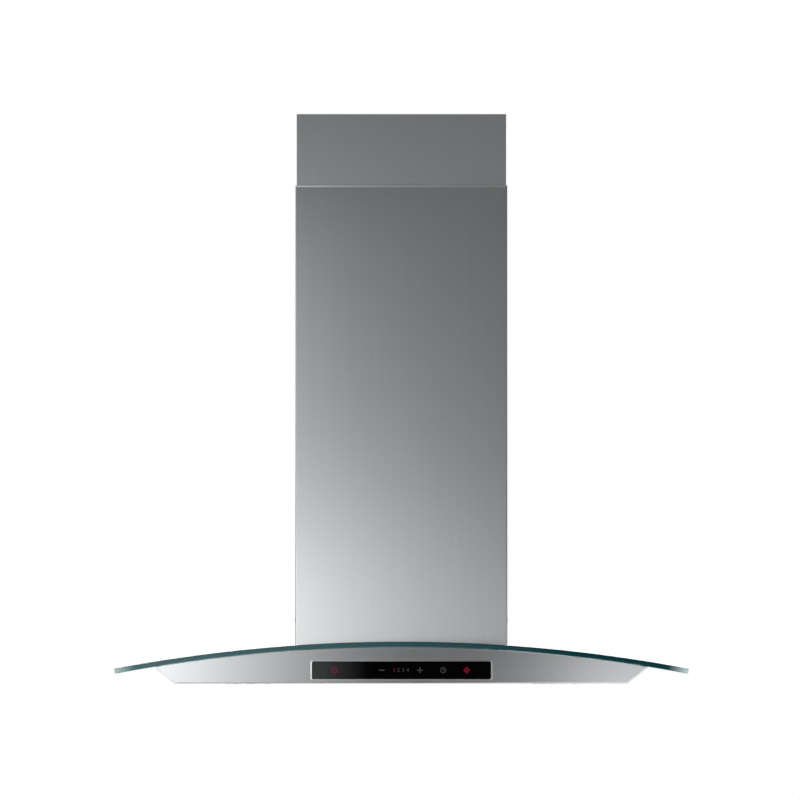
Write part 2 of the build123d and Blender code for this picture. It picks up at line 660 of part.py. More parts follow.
# Ties: Z-shaped brackets from the blower box to the lower chimney's sides
with BuildPart() as chimney_ties:
    for side, _ in SIDES:
        outer = LOWER_INNER_HALF - BEND_FIT
        with BuildSketch(Plane.XZ.offset(TIE_DISTANCE - TIE_WIDTH / 2)):
            with Locations((side * (BOX_HALF + TIE_SHEET / 2), level(TIE_HEIGHT + TIE_TAB / 2))):
                Rectangle(TIE_SHEET, TIE_TAB)
            with Locations((side * (BOX_HALF + outer) / 2, level(TIE_HEIGHT + TIE_TAB / 2))):
                Rectangle(outer - BOX_HALF, TIE_SHEET)
            with Locations((side * (outer - TIE_SHEET / 2), level(TIE_HEIGHT))):
                Rectangle(TIE_SHEET, TIE_TAB + TIE_SHEET)
        extrude(amount=TIE_WIDTH)
    with BuildSketch(Plane.YZ.offset(BOX_HALF + TIE_TAB / 2)):
        with Locations((-TIE_DISTANCE, level(TIE_HEIGHT))):
            Circle(SMALL_SCREW_RADIUS + RUNNING_FIT)
    extrude(amount=CHIMNEY_WIDTH, mode=Mode.SUBTRACT)
    with BuildSketch(Plane.YZ.offset(-BOX_HALF - TIE_TAB / 2)):
        with Locations((-TIE_DISTANCE, level(TIE_HEIGHT))):
            Circle(SMALL_SCREW_RADIUS + RUNNING_FIT)
    extrude(amount=-CHIMNEY_WIDTH, mode=Mode.SUBTRACT)
save(chimney_ties.part, "chimney_ties")

tie_screw_planes = [
    side_plane(side, CHIMNEY_WIDTH / 2, TIE_DISTANCE, TIE_HEIGHT) for side, _ in SIDES
]
lower_chimney_screws = screws(
    tie_screw_planes,
    SMALL_SCREW_RADIUS,
    SMALL_SCREW_LENGTH,
    SMALL_SCREW_HEAD,
    SMALL_SCREW_HEAD_HEIGHT,
)
save(lower_chimney_screws, "lower_chimney_screws")


# Scroll: spiral housing in two halves, split across the axis
def scroll_point(forward, rise):
    """Point of the scroll's outline, measured forwards and up from the fan's axis."""
    return (-(FAN_DISTANCE + forward), level(FAN_HEIGHT) + rise)


def scroll_solid(grow, top_height, start, end):
    """The scroll's inside, grown by a wall, between two places along the axis."""
    tongue = radians(SCROLL_TONGUE)
    radius = SCROLL_RADIUS + grow
    wide = radius + SCROLL_GROWTH
    top = top_height - FAN_HEIGHT
    diagonal = wide * sin(radians(45))
    tongue_point = scroll_point(radius * cos(tongue), radius * sin(tongue))
    bottom_point = scroll_point(0, -radius)
    back_point = scroll_point(-wide, SCROLL_GROWTH)
    with BuildPart() as solid:
        with BuildSketch(Plane.YZ.offset(start)):
            with BuildLine():
                ThreePointArc(tongue_point, scroll_point(radius, 0), bottom_point)
                ThreePointArc(
                    bottom_point, scroll_point(-diagonal, SCROLL_GROWTH - diagonal), back_point
                )
                Polyline(
                    back_point,
                    scroll_point(-wide, top),
                    scroll_point(radius * cos(tongue), top),
                    tongue_point,
                )
            make_face()
        extrude(amount=end - start)
    return solid.part


for side, name in SIDES:
    outer_end = side * (SCROLL_HALF + SCROLL_WALL)
    scroll_outside = scroll_solid(SCROLL_WALL, LID_HEIGHT - FIT, 0, outer_end)
    scroll_inside = scroll_solid(0, LID_HEIGHT, 0, side * SCROLL_HALF)
    with BuildPart() as scroll_half:
        add(scroll_outside)
        add(scroll_inside, mode=Mode.SUBTRACT)
        with BuildSketch(FAN_PLANE):
            Circle(INLET_RADIUS)
        extrude(amount=outer_end, mode=Mode.SUBTRACT)
        if side > 0:
            with BuildSketch(FAN_PLANE):
                with PolarLocations(SPIDER_RADIUS, 3):
                    Circle(SMALL_SCREW_RADIUS + RUNNING_FIT)
            extrude(amount=outer_end, mode=Mode.SUBTRACT)
    save(scroll_half.part, f"scroll_{name}")

# Fan wheel: forward-curved blades between two rings, on a centre disc and hub
with BuildSketch() as blade_face:
    with BuildLine():
        ThreePointArc(
            (INLET_RADIUS, 0),
            (INLET_RADIUS + BLADE_DEPTH / 2, BLADE_LEAN / 4),
            (WHEEL_RADIUS, BLADE_LEAN),
        )
    trace(line_width=BLADE_THICKNESS)
with BuildPart() as fan_wheel:
    with BuildSketch(FAN_PLANE.offset(-WHEEL_HALF)):
        with PolarLocations(0, BLADE_COUNT):
            add(blade_face.sketch)
    extrude(amount=2 * WHEEL_HALF)
    for start in (-WHEEL_HALF, WHEEL_HALF - RING_THICKNESS):
        with BuildSketch(FAN_PLANE.offset(start)):
            Circle(WHEEL_RADIUS + BLADE_THICKNESS)
            Circle(WHEEL_RADIUS - RING_WIDTH, mode=Mode.SUBTRACT)
        extrude(amount=RING_THICKNESS)
    with BuildSketch(FAN_PLANE):
        Circle(WHEEL_RADIUS)
    extrude(amount=RING_THICKNESS / 2, both=True)
    with BuildSketch(FAN_PLANE.offset(-HUB_RADIUS)):
        Circle(HUB_RADIUS)
    extrude(amount=1.5 * HUB_RADIUS)
    with BuildSketch(FAN_PLANE.offset(-HUB_RADIUS)):
        Circle(SHAFT_RADIUS + RUNNING_FIT)
    extrude(amount=2 * HUB_RADIUS, mode=Mode.SUBTRACT)
save(fan_wheel.part, "fan_wheel")

# Motor: can, end shield, stator, rotor, shaft and two bearings
MOTOR_MID = (MOTOR_START + MOTOR_END) / 2
BEARING_STARTS = (MOTOR_START + MOTOR_WALL, MOTOR_END - BEARING_WIDTH)
with BuildPart() as motor_can:
    with BuildSketch(FAN_PLANE.offset(MOTOR_START)):
        Circle(MOTOR_RADIUS)
    extrude(amount=MOTOR_END - MOTOR_START)
    with BuildSketch(FAN_PLANE.offset(MOTOR_START + MOTOR_WALL)):
        Circle(MOTOR_RADIUS - MOTOR_WALL)
        Circle(BEARING_RADIUS + MOTOR_WALL, mode=Mode.SUBTRACT)
    extrude(amount=BEARING_WIDTH, mode=Mode.SUBTRACT)
    with BuildSketch(FAN_PLANE.offset(MOTOR_START + MOTOR_WALL)):
        Circle(BEARING_RADIUS + RUNNING_FIT)
    extrude(amount=BEARING_WIDTH, mode=Mode.SUBTRACT)
    with BuildSketch(FAN_PLANE.offset(MOTOR_START + MOTOR_WALL + BEARING_WIDTH)):
        Circle(MOTOR_RADIUS - MOTOR_WALL)
    extrude(amount=MOTOR_END - MOTOR_START, mode=Mode.SUBTRACT)
    with BuildSketch(FAN_PLANE):
        Circle(SHAFT_RADIUS + 2 * HOLE_FIT)
    extrude(amount=MOTOR_END, mode=Mode.SUBTRACT)
save(motor_can.part, "motor_can")

with BuildPart() as motor_end_shield:
    with BuildSketch(FAN_PLANE.offset(MOTOR_END)):
        Circle(MOTOR_RADIUS)
    extrude(amount=SHIELD_THICKNESS)
    with BuildSketch(FAN_PLANE.offset(MOTOR_END - BEARING_WIDTH)):
        Circle(BEARING_RADIUS + MOTOR_WALL)
        Circle(BEARING_RADIUS + RUNNING_FIT, mode=Mode.SUBTRACT)
    extrude(amount=BEARING_WIDTH)
save(motor_end_shield.part, "motor_end_shield")

with BuildPart() as motor_stator:
    with BuildSketch(FAN_PLANE.offset(MOTOR_MID - STATOR_LENGTH / 2)):
        Circle(MOTOR_RADIUS - MOTOR_WALL - BEND_FIT)
        Circle(STATOR_BORE, mode=Mode.SUBTRACT)
    extrude(amount=STATOR_LENGTH)
save(motor_stator.part, "motor_stator")

with BuildPart() as motor_rotor:
    with BuildSketch(FAN_PLANE.offset(MOTOR_MID - STATOR_LENGTH / 2)):
        Circle(STATOR_BORE - AIR_GAP)
        Circle(SHAFT_RADIUS + RUNNING_FIT, mode=Mode.SUBTRACT)
    extrude(amount=STATOR_LENGTH)
save(motor_rotor.part, "motor_rotor")

with BuildPart() as motor_shaft:
    with BuildSketch(FAN_PLANE.offset(-HUB_RADIUS)):
        Circle(SHAFT_RADIUS)
    extrude(amount=MOTOR_END + HUB_RADIUS - FIT)
save(motor_shaft.part, "motor_shaft")

with BuildPart() as motor_bearings:
    for start in BEARING_STARTS:
        with BuildSketch(FAN_PLANE.offset(start + FIT)):
            Circle(BEARING_RADIUS)
            Circle(SHAFT_RADIUS + RUNNING_FIT, mode=Mode.SUBTRACT)
        extrude(amount=BEARING_WIDTH - 2 * FIT)
save(motor_bearings.part, "motor_bearings")

# Spider: flat bracket that carries the motor across the right inlet
spider_start = SCROLL_HALF + SCROLL_WALL
with BuildPart() as motor_spider:
    with BuildSketch(FAN_PLANE.offset(spider_start)):
        Circle(MOTOR_RADIUS)
        with PolarLocations(SPIDER_RADIUS / 2, 3):
            Rectangle(SPIDER_RADIUS, BRACKET_ARM_WIDTH)
        with PolarLocations(SPIDER_RADIUS, 3):
            Circle(BRACKET_ARM_WIDTH / 2)
            Circle(SMALL_SCREW_RADIUS + HOLE_FIT, mode=Mode.SUBTRACT)
    extrude(amount=BRACKET_PLATE)
save(motor_spider.part, "motor_spider")

spider_screw_planes = [
    side_plane(
        1,
        spider_start + BRACKET_PLATE,
        FAN_DISTANCE - SPIDER_RADIUS * cos(radians(angle)),
        FAN_HEIGHT + SPIDER_RADIUS * sin(radians(angle)),
    )
    for angle in (0, 120, 240)
]
spider_screws = screws(
    spider_screw_planes,
    SMALL_SCREW_RADIUS,
    BRACKET_PLATE + SCROLL_WALL,
    SMALL_SCREW_HEAD,
    SMALL_SCREW_HEAD_HEIGHT,
)
save(spider_screws, "spider_screws")

# Outlet collar on the lid, with a ledge for the closed flaps
collar_foot = level(LID_HEIGHT + SHEET)
flap_axis = collar_foot + FLAP_AXIS_RISE
flap_ledge = flap_axis - FLAP_THICKNESS / 2 - FIT
with BuildPart() as outlet_collar:
    with BuildSketch(Plane.XY.offset(collar_foot)):
        with Locations((0, -COLLAR_DISTANCE)):
            Circle(COLLAR_RADIUS + COLLAR_FLANGE)
    extrude(amount=COLLAR_FLANGE_THICKNESS)
    with BuildSketch(Plane.XY.offset(collar_foot)):
        with Locations((0, -COLLAR_DISTANCE)):
            Circle(COLLAR_RADIUS)
    extrude(amount=COLLAR_HEIGHT)
    with BuildSketch(Plane.XY.offset(collar_foot)):
        with Locations((0, -COLLAR_DISTANCE)):
            Circle(COLLAR_BORE - LEDGE_WIDTH)
    extrude(amount=COLLAR_HEIGHT, mode=Mode.SUBTRACT)
    with BuildSketch(Plane.XY.offset(flap_ledge)):
        with Locations((0, -COLLAR_DISTANCE)):
            Circle(COLLAR_BORE)
    extrude(amount=COLLAR_HEIGHT, mode=Mode.SUBTRACT)
    with BuildSketch(Plane.XY.offset(collar_foot)):
        with Locations((0, -COLLAR_DISTANCE)):
            Circle(COLLAR_BORE)
    extrude(amount=flap_ledge - collar_foot - LEDGE_WIDTH, mode=Mode.SUBTRACT)
    with BuildSketch(Plane.XZ):
        with Locations((0, flap_axis)):
            Circle(FLAP_PIN_RADIUS + RUNNING_FIT)
    extrude(amount=BOX_FRONT, mode=Mode.SUBTRACT)
    with BuildSketch(Plane.XZ.offset(COLLAR_DISTANCE - COLLAR_BORE)):
        with Locations((0, flap_axis)):
            Circle(KNUCKLE_RADIUS + FLAP_GAP)
    extrude(amount=2 * COLLAR_BORE, mode=Mode.SUBTRACT)
save(outlet_collar.part, "outlet_collar")

with BuildPart() as damper_pin:
    with BuildSketch(Plane.XZ.offset(COLLAR_DISTANCE - COLLAR_RADIUS)):
        with Locations((0, flap_axis)):
            Circle(FLAP_PIN_RADIUS)
    extrude(amount=2 * COLLAR_RADIUS)
save(damper_pin.part, "damper_pin")

# Flaps: half discs hinged on the pin, each on two knuckles beside the other's
for side, name in SIDES:
    own_places = [COLLAR_DISTANCE + (k - side / 2) * KNUCKLE_PITCH for k in (-2, 2)]
    with BuildPart() as damper_flap:
        with BuildSketch(Plane.XY.offset(flap_axis - FLAP_THICKNESS / 2)):
            with Locations((0, -COLLAR_DISTANCE)):
                Circle(COLLAR_BORE - FLAP_GAP)
            with Locations((-side * (COLLAR_RADIUS - KNUCKLE_RADIUS - FLAP_GAP), -COLLAR_DISTANCE)):
                Rectangle(2 * COLLAR_RADIUS, 2 * COLLAR_RADIUS, mode=Mode.SUBTRACT)
            for place in own_places:
                with Locations((side * KNUCKLE_RADIUS, -place)):
                    Rectangle(2 * KNUCKLE_RADIUS, KNUCKLE_LENGTH)
        extrude(amount=FLAP_THICKNESS)
        for place in own_places:
            with BuildSketch(Plane.XZ.offset(place - KNUCKLE_LENGTH / 2)):
                with Locations((0, flap_axis)):
                    Circle(KNUCKLE_RADIUS)
            extrude(amount=KNUCKLE_LENGTH)
        with BuildSketch(Plane.XZ.offset(COLLAR_DISTANCE - COLLAR_RADIUS)):
            with Locations((0, flap_axis)):
                Circle(FLAP_PIN_RADIUS + RUNNING_FIT)
        extrude(amount=2 * COLLAR_RADIUS, mode=Mode.SUBTRACT)
    save(damper_flap.part, f"damper_flap_{name}")

# Electronics: tray, cover, power board, gland for the mains lead, and motor capacitor
electronics_front = BOX_FRONT + ELECTRONICS_DEPTH
with BuildPart() as electronics_tray:
    with BuildSketch(Plane.XZ.offset(BOX_FRONT)):
        with Locations((0, level(ELECTRONICS_MID))):
            RectangleRounded(ELECTRONICS_WIDTH, ELECTRONICS_HEIGHT, 2 * ELECTRONICS_WALL)
    extrude(amount=ELECTRONICS_DEPTH - ELECTRONICS_WALL)
    with BuildSketch(Plane.XZ.offset(BOX_FRONT + ELECTRONICS_WALL)):
        with Locations((0, level(ELECTRONICS_MID))):
            RectangleRounded(
                ELECTRONICS_WIDTH - 2 * ELECTRONICS_WALL,
                ELECTRONICS_HEIGHT - 2 * ELECTRONICS_WALL,
                ELECTRONICS_WALL,
            )
    extrude(amount=ELECTRONICS_DEPTH, mode=Mode.SUBTRACT)
    with BuildSketch(Plane.XZ.offset(BOX_FRONT)):
        with Locations((0, level(ELECTRONICS_MID))):
            with GridLocations(0.8 * ELECTRONICS_WIDTH, 0.7 * ELECTRONICS_HEIGHT, 2, 2):
                Circle(2 * ELECTRONICS_WALL)
    extrude(amount=ELECTRONICS_WALL + BOARD_STANDOFF)
    with BuildSketch(Plane.XZ.offset(BOX_FRONT)):
        with Locations((CABLE_X, level(CABLE_BOX_HEIGHT))):
            Circle(CABLE_RADIUS + 2 * HOLE_FIT)
    extrude(amount=ELECTRONICS_DEPTH, mode=Mode.SUBTRACT)
    with BuildSketch(Plane.XY.offset(level(ELECTRONICS_MID))):
        with Locations((-ELECTRONICS_WIDTH / 4, -(BOX_FRONT + ELECTRONICS_DEPTH / 2))):
            Circle(GLAND_RADIUS - ELECTRONICS_WALL)
    extrude(amount=ELECTRONICS_HEIGHT, mode=Mode.SUBTRACT)
save(electronics_tray.part, "electronics_tray")

with BuildPart() as electronics_cover:
    with BuildSketch(Plane.XZ.offset(electronics_front - ELECTRONICS_WALL)):
        with Locations((0, level(ELECTRONICS_MID))):
            RectangleRounded(ELECTRONICS_WIDTH, ELECTRONICS_HEIGHT, 2 * ELECTRONICS_WALL)
    extrude(amount=ELECTRONICS_WALL)
save(electronics_cover.part, "electronics_cover")

board_back = BOX_FRONT + ELECTRONICS_WALL + BOARD_STANDOFF
COMPONENT_HEIGHT = ELECTRONICS_DEPTH - 2 * ELECTRONICS_WALL - BOARD_STANDOFF - BOARD_THICKNESS - 2 * FIT
with BuildPart() as power_board:
    with BuildSketch(Plane.XZ.offset(board_back)):
        with Locations((0, level(ELECTRONICS_MID))):
            Rectangle(0.9 * ELECTRONICS_WIDTH, 0.84 * ELECTRONICS_HEIGHT)
        with Locations((CABLE_X, level(CABLE_BOX_HEIGHT))):
            Circle(2 * CABLE_RADIUS, mode=Mode.SUBTRACT)
    extrude(amount=BOARD_THICKNESS)
    with BuildSketch(Plane.XZ.offset(board_back + BOARD_THICKNESS)):
        with Locations((ELECTRONICS_WIDTH / 5, level(ELECTRONICS_MID + ELECTRONICS_HEIGHT / 6))):
            Rectangle(ELECTRONICS_WIDTH / 4, ELECTRONICS_HEIGHT / 3)
        with Locations((-ELECTRONICS_WIDTH / 8, level(ELECTRONICS_MID - ELECTRONICS_HEIGHT / 5))):
            with GridLocations(ELECTRONICS_WIDTH / 7, 0, 4, 1):
                Rectangle(ELECTRONICS_WIDTH / 9, ELECTRONICS_HEIGHT / 5)
    extrude(amount=COMPONENT_HEIGHT)
save(power_board.part, "power_board")

gland_foot = level(ELECTRONICS_MID + ELECTRONICS_HEIGHT / 2)
with BuildPart() as cable_gland:
    with BuildSketch(Plane.XY.offset(gland_foot)):
        with Locations((-ELECTRONICS_WIDTH / 4, -(BOX_FRONT + ELECTRONICS_DEPTH / 2))):
            RegularPolygon(GLAND_RADIUS, 6)
    extrude(amount=GLAND_LENGTH / 3)
    with BuildSketch(Plane.XY.offset(gland_foot + GLAND_LENGTH / 3)):
        with Locations((-ELECTRONICS_WIDTH / 4, -(BOX_FRONT + ELECTRONICS_DEPTH / 2))):
            Circle(GLAND_RADIUS - ELECTRONICS_WALL)
    extrude(amount=2 * GLAND_LENGTH / 3, taper=8)
    with BuildSketch(Plane.XY.offset(gland_foot)):
        with Locations((-ELECTRONICS_WIDTH / 4, -(BOX_FRONT + ELECTRONICS_DEPTH / 2))):
            Circle(GLAND_BORE)
    extrude(amount=GLAND_LENGTH, mode=Mode.SUBTRACT)
save(cable_gland.part, "cable_gland")

capacitor_distance = BOX_FRONT - CAPACITOR_RADIUS - 2 * NOTCH_GAP
with BuildPart() as motor_capacitor:
    with BuildSketch(Plane.XY.offset(collar_foot)):
        with Locations((CAPACITOR_X, -capacitor_distance)):
            Circle(CAPACITOR_RADIUS)
    extrude(amount=CAPACITOR_HEIGHT)
    fillet(motor_capacitor.edges().group_by(Axis.Z)[-1], NOTCH_GAP / 2)
    with BuildSketch(Plane.XY.offset(collar_foot + CAPACITOR_HEIGHT)):
        with Locations((CAPACITOR_X, -capacitor_distance)):
            with GridLocations(CAPACITOR_RADIUS, 0, 2, 1):
                Rectangle(FLAP_THICKNESS, CAPACITOR_RADIUS / 3)
    extrude(amount=2 * NOTCH_GAP)
save(motor_capacitor.part, "motor_capacitor")

# Touch control: bezel in the fascia's window, black glass, board with lights, tray behind
bezel_front = FASCIA + BEZEL_PROUD
control_back = bezel_front - CONTROL_SINK - CONTROL_THICKNESS
control_middle = (0, level(CONTROL_MID))
with BuildPart() as control_bezel:
    with BuildSketch(Plane.XZ.offset(FASCIA)):
        with Locations(control_middle):
            RectangleRounded(
                CONTROL_WIDTH + 2 * (FIT + BEZEL_RIM + BEZEL_SLEEVE),
                CONTROL_HEIGHT + 2 * (FIT + BEZEL_RIM + BEZEL_SLEEVE),
                CONTROL_CORNER + BEZEL_RIM + BEZEL_SLEEVE,
            )
    extrude(amount=BEZEL_PROUD)
    fillet(control_bezel.faces().sort_by(Axis.Y)[0].edges(), BEZEL_PROUD / 2)
    with BuildSketch(Plane.XZ.offset(FASCIA)):
        with Locations(control_middle):
            RectangleRounded(
                CONTROL_WIDTH + 2 * (FIT + BEZEL_SLEEVE),
                CONTROL_HEIGHT + 2 * (FIT + BEZEL_SLEEVE),
                CONTROL_CORNER + BEZEL_SLEEVE,
            )
    extrude(amount=-BEZEL_DEPTH)
    with BuildSketch(Plane.XZ.offset(bezel_front)):
        with Locations(control_middle):
            RectangleRounded(
                CONTROL_WIDTH + 2 * FIT, CONTROL_HEIGHT + 2 * FIT, CONTROL_CORNER
            )
    extrude(amount=-2 * BEZEL_DEPTH, mode=Mode.SUBTRACT)
save(control_bezel.part, "control_bezel")

with BuildPart() as control_glass:
    with BuildSketch(Plane.XZ.offset(control_back)):
        with Locations(control_middle):
            RectangleRounded(CONTROL_WIDTH, CONTROL_HEIGHT, CONTROL_CORNER)
    extrude(amount=CONTROL_THICKNESS)
    chamfer(control_glass.faces().sort_by(Axis.Y)[0].edges(), FIT)
save(control_glass.part, "control_glass")

board_front = control_back - FIT - LED_HEIGHT
with BuildPart() as touch_board:
    with BuildSketch(Plane.XZ.offset(board_front)):
        with Locations(control_middle):
            Rectangle(CONTROL_WIDTH - 2 * FIT, CONTROL_HEIGHT - 2 * FIT)
    extrude(amount=-BOARD_THICKNESS)
    with BuildSketch(Plane.XZ.offset(board_front)):
        with Locations(*[(place, level(CONTROL_MID)) for place in LED_PLACES]):
            Rectangle(LED_SIZE, LED_SIZE)
    extrude(amount=LED_HEIGHT)
save(touch_board.part, "touch_board")

tray_width = CONTROL_WIDTH + 2 * TRAY_MARGIN
tray_height = CONTROL_HEIGHT + TRAY_MARGIN
tray_back = FASCIA - SHEET - TRAY_DEPTH
with BuildPart() as control_tray:
    with BuildSketch(Plane.XZ.offset(tray_back)):
        with Locations(control_middle):
            Rectangle(tray_width, tray_height)
    extrude(amount=TRAY_DEPTH)
    with BuildSketch(Plane.XZ.offset(tray_back + TRAY_WALL)):
        with Locations(control_middle):
            Rectangle(tray_width - 2 * TRAY_WALL, tray_height - 2 * TRAY_WALL)
    extrude(amount=TRAY_DEPTH, mode=Mode.SUBTRACT)
    with BuildSketch(Plane.XZ.offset(tray_back)):
        with Locations(control_middle):
            with GridLocations(0.9 * CONTROL_WIDTH, 0.6 * CONTROL_HEIGHT, 2, 2):
                Circle(2 * TRAY_WALL)
    extrude(amount=board_front - BOARD_THICKNESS - FIT - tray_back)
save(control_tray.part, "control_tray")

# Lamps: rim and sleeve, frosted lens, light board and housing, one each side
lamp_floor = level(0)
for side, name in SIDES:
    lamp_middle = (side * LAMP_OFFSET, -LAMP_DISTANCE)
    with BuildPart() as lamp_bezel:
        with BuildSketch(Plane.XY.offset(lamp_floor - LAMP_RIM_THICKNESS)):
            with Locations(lamp_middle):
                Circle(LAMP_RADIUS + LAMP_RIM)
        extrude(amount=LAMP_RIM_THICKNESS)
        with BuildSketch(Plane.XY.offset(lamp_floor)):
            with Locations(lamp_middle):
                Circle(LAMP_RADIUS)
        extrude(amount=LAMP_BOARD_RISE)
        with BuildSketch(Plane.XY.offset(lamp_floor - LAMP_RIM_THICKNESS)):
            with Locations(lamp_middle):
                Circle(LAMP_RADIUS - LAMP_RIM)
        extrude(amount=LAMP_BOARD_RISE + LAMP_RIM_THICKNESS, mode=Mode.SUBTRACT)
        with BuildSketch(Plane.XY.offset(lamp_floor)):
            with Locations(lamp_middle):
                Circle(LAMP_RADIUS - LAMP_WALL)
        extrude(amount=LAMP_BOARD_RISE, mode=Mode.SUBTRACT)
    save(lamp_bezel.part, f"lamp_bezel_{name}")

    with BuildPart() as lamp_lens:
        with BuildSketch(Plane.XY.offset(lamp_floor)):
            with Locations(lamp_middle):
                Circle(LAMP_RADIUS - LAMP_WALL - FIT)
        extrude(amount=LENS_THICKNESS)
    save(lamp_lens.part, f"lamp_lens_{name}")

    with BuildPart() as lamp_housing:
        with BuildSketch(Plane.XY.offset(lamp_floor + LAMP_BOARD_RISE)):
            with Locations(lamp_middle):
                Circle(LAMP_RADIUS)
        extrude(amount=LAMP_DEPTH - LAMP_BOARD_RISE)
        with BuildSketch(Plane.XY.offset(lamp_floor + LAMP_BOARD_RISE)):
            with Locations(lamp_middle):
                Circle(LAMP_RADIUS - LAMP_WALL)
        extrude(amount=LAMP_DEPTH - LAMP_BOARD_RISE - LAMP_WALL, mode=Mode.SUBTRACT)
    save(lamp_housing.part, f"lamp_housing_{name}")

    with BuildPart() as lamp_board:
        with BuildSketch(Plane.XY.offset(lamp_floor + LAMP_BOARD_RISE)):
            with Locations(lamp_middle):
                Circle(LAMP_RADIUS - LAMP_WALL - FIT)
        extrude(amount=BOARD_THICKNESS)
        with BuildSketch(Plane.XY.offset(lamp_floor + LAMP_BOARD_RISE)):
            with Locations(lamp_middle):
                with PolarLocations(LAMP_RADIUS / 2, 6):
                    Rectangle(LED_SIZE, LED_SIZE)
        extrude(amount=-LED_HEIGHT)
    save(lamp_board.part, f"lamp_board_{name}")

# Grease filters: channel frame on pivot pins, pressed mesh, finger pull, spring catch
filter_floor = level(FILTER_LIFT)
pivot_z = level(FILTER_PIVOT_HEIGHT)
handle_front = FILTER_FRONT - FILTER_LIP - FIT
handle_mid = handle_front - HANDLE_DEPTH / 2
for side, name in SIDES:
    filter_middle = (side * OPENING_X, -OPENING_MID)
    with BuildPart() as filter_frame:
        with BuildSketch(Plane.XY.offset(filter_floor)):
            with Locations(filter_middle):
                RectangleRounded(FILTER_WIDTH, FILTER_DEPTH, FILTER_CORNER)
                Rectangle(
                    FILTER_WIDTH - 2 * FILTER_LIP, FILTER_DEPTH - 2 * FILTER_LIP, mode=Mode.SUBTRACT
                )
        extrude(amount=FILTER_THICKNESS)
        with BuildSketch(Plane.XY.offset(filter_floor + FILTER_WEB)):
            with Locations(filter_middle):
                Rectangle(FILTER_WIDTH - 2 * FILTER_WEB, FILTER_DEPTH - 2 * FILTER_WEB)
        extrude(amount=FILTER_THICKNESS - 2 * FILTER_WEB, mode=Mode.SUBTRACT)
        with BuildSketch(Plane.XZ.offset(FILTER_FRONT)):
            with Locations((side * OPENING_X, pivot_z)):
                Rectangle(CLIP_SLOT, FILTER_THICKNESS - 2 * FILTER_WEB)
        extrude(amount=-FILTER_WEB, mode=Mode.SUBTRACT)
        for end in (-1, 1):
            pin_foot = side * OPENING_X + end * (FILTER_WIDTH / 2 - FILTER_WEB)
            with BuildSketch(Plane.YZ.offset(pin_foot)):
                with Locations((-FILTER_PIVOT_DISTANCE, pivot_z)):
                    Circle(FILTER_PIN_RADIUS)
            extrude(amount=end * (FILTER_PIN_LENGTH + FILTER_WEB))
    save(filter_frame.part, f"filter_frame_{name}")

    mesh_pitch_x = (FILTER_WIDTH - 2 * FILTER_LIP) / MESH_ROWS
    mesh_pitch_y = (FILTER_DEPTH - 2 * FILTER_LIP) / MESH_ROWS
    with BuildPart() as filter_mesh:
        with BuildSketch(Plane.XY.offset(filter_floor + FILTER_WEB + BEND_FIT)):
            with Locations(filter_middle):
                Rectangle(
                    FILTER_WIDTH - 2 * (FILTER_WEB + FIT), FILTER_DEPTH - 2 * (FILTER_WEB + FIT)
                )
                with GridLocations(mesh_pitch_x, mesh_pitch_y, MESH_ROWS, MESH_ROWS):
                    Rectangle(MESH_CELL, MESH_CELL, rotation=45, mode=Mode.SUBTRACT)
            with Locations((side * OPENING_X, -handle_mid)):
                Rectangle(HANDLE_WIDTH + 2 * FIT, HANDLE_DEPTH + 2 * FIT, mode=Mode.SUBTRACT)
        extrude(amount=MESH_THICKNESS)
    save(filter_mesh.part, f"filter_mesh_{name}")

    with BuildPart() as filter_handle:
        with BuildSketch(Plane.XY.offset(filter_floor)):
            with Locations((side * OPENING_X, -handle_mid)):
                RectangleRounded(HANDLE_WIDTH, HANDLE_DEPTH, 2 * HANDLE_WALL)
        extrude(amount=HANDLE_HEIGHT)
        with BuildSketch(Plane.XY.offset(filter_floor)):
            with Locations((side * OPENING_X, -handle_mid)):
                RectangleRounded(
                    HANDLE_WIDTH - 2 * HANDLE_WALL, HANDLE_DEPTH - 2 * HANDLE_WALL, HANDLE_WALL
                )
        extrude(amount=HANDLE_HEIGHT - HANDLE_WALL, mode=Mode.SUBTRACT)
        with BuildSketch(Plane.XY.offset(filter_floor)):
            with Locations((side * OPENING_X, -(handle_front - HANDLE_BAR / 2))):
                Rectangle(HANDLE_WIDTH - 2 * HANDLE_WALL, HANDLE_BAR)
        extrude(amount=HANDLE_WALL)
    save(filter_handle.part, f"filter_handle_{name}")

    clip_foot = OPENING_FRONT + 2 * CLIP_SHEET
    clip_low = level(SHEET) + CLIP_SHEET / 2
    clip_face = OPENING_FRONT + CLIP_SHEET
    with BuildPart() as filter_clip:
        with BuildSketch(Plane.YZ.offset(side * OPENING_X - CLIP_WIDTH / 2)):
            with BuildLine():
                Polyline(
                    (-(DIVIDER - FIT), clip_low),
                    (-clip_face, clip_low),
                    (-clip_face, pivot_z - FILTER_WEB),
                    (-(FILTER_FRONT - CLIP_NOSE + CLIP_SHEET), pivot_z),
                    (-clip_face, pivot_z + FILTER_WEB),
                    (-clip_foot, level(FILTER_THICKNESS)),
                )
            trace(line_width=CLIP_SHEET)
        extrude(amount=CLIP_WIDTH)
    save(filter_clip.part, f"filter_clip_{name}")

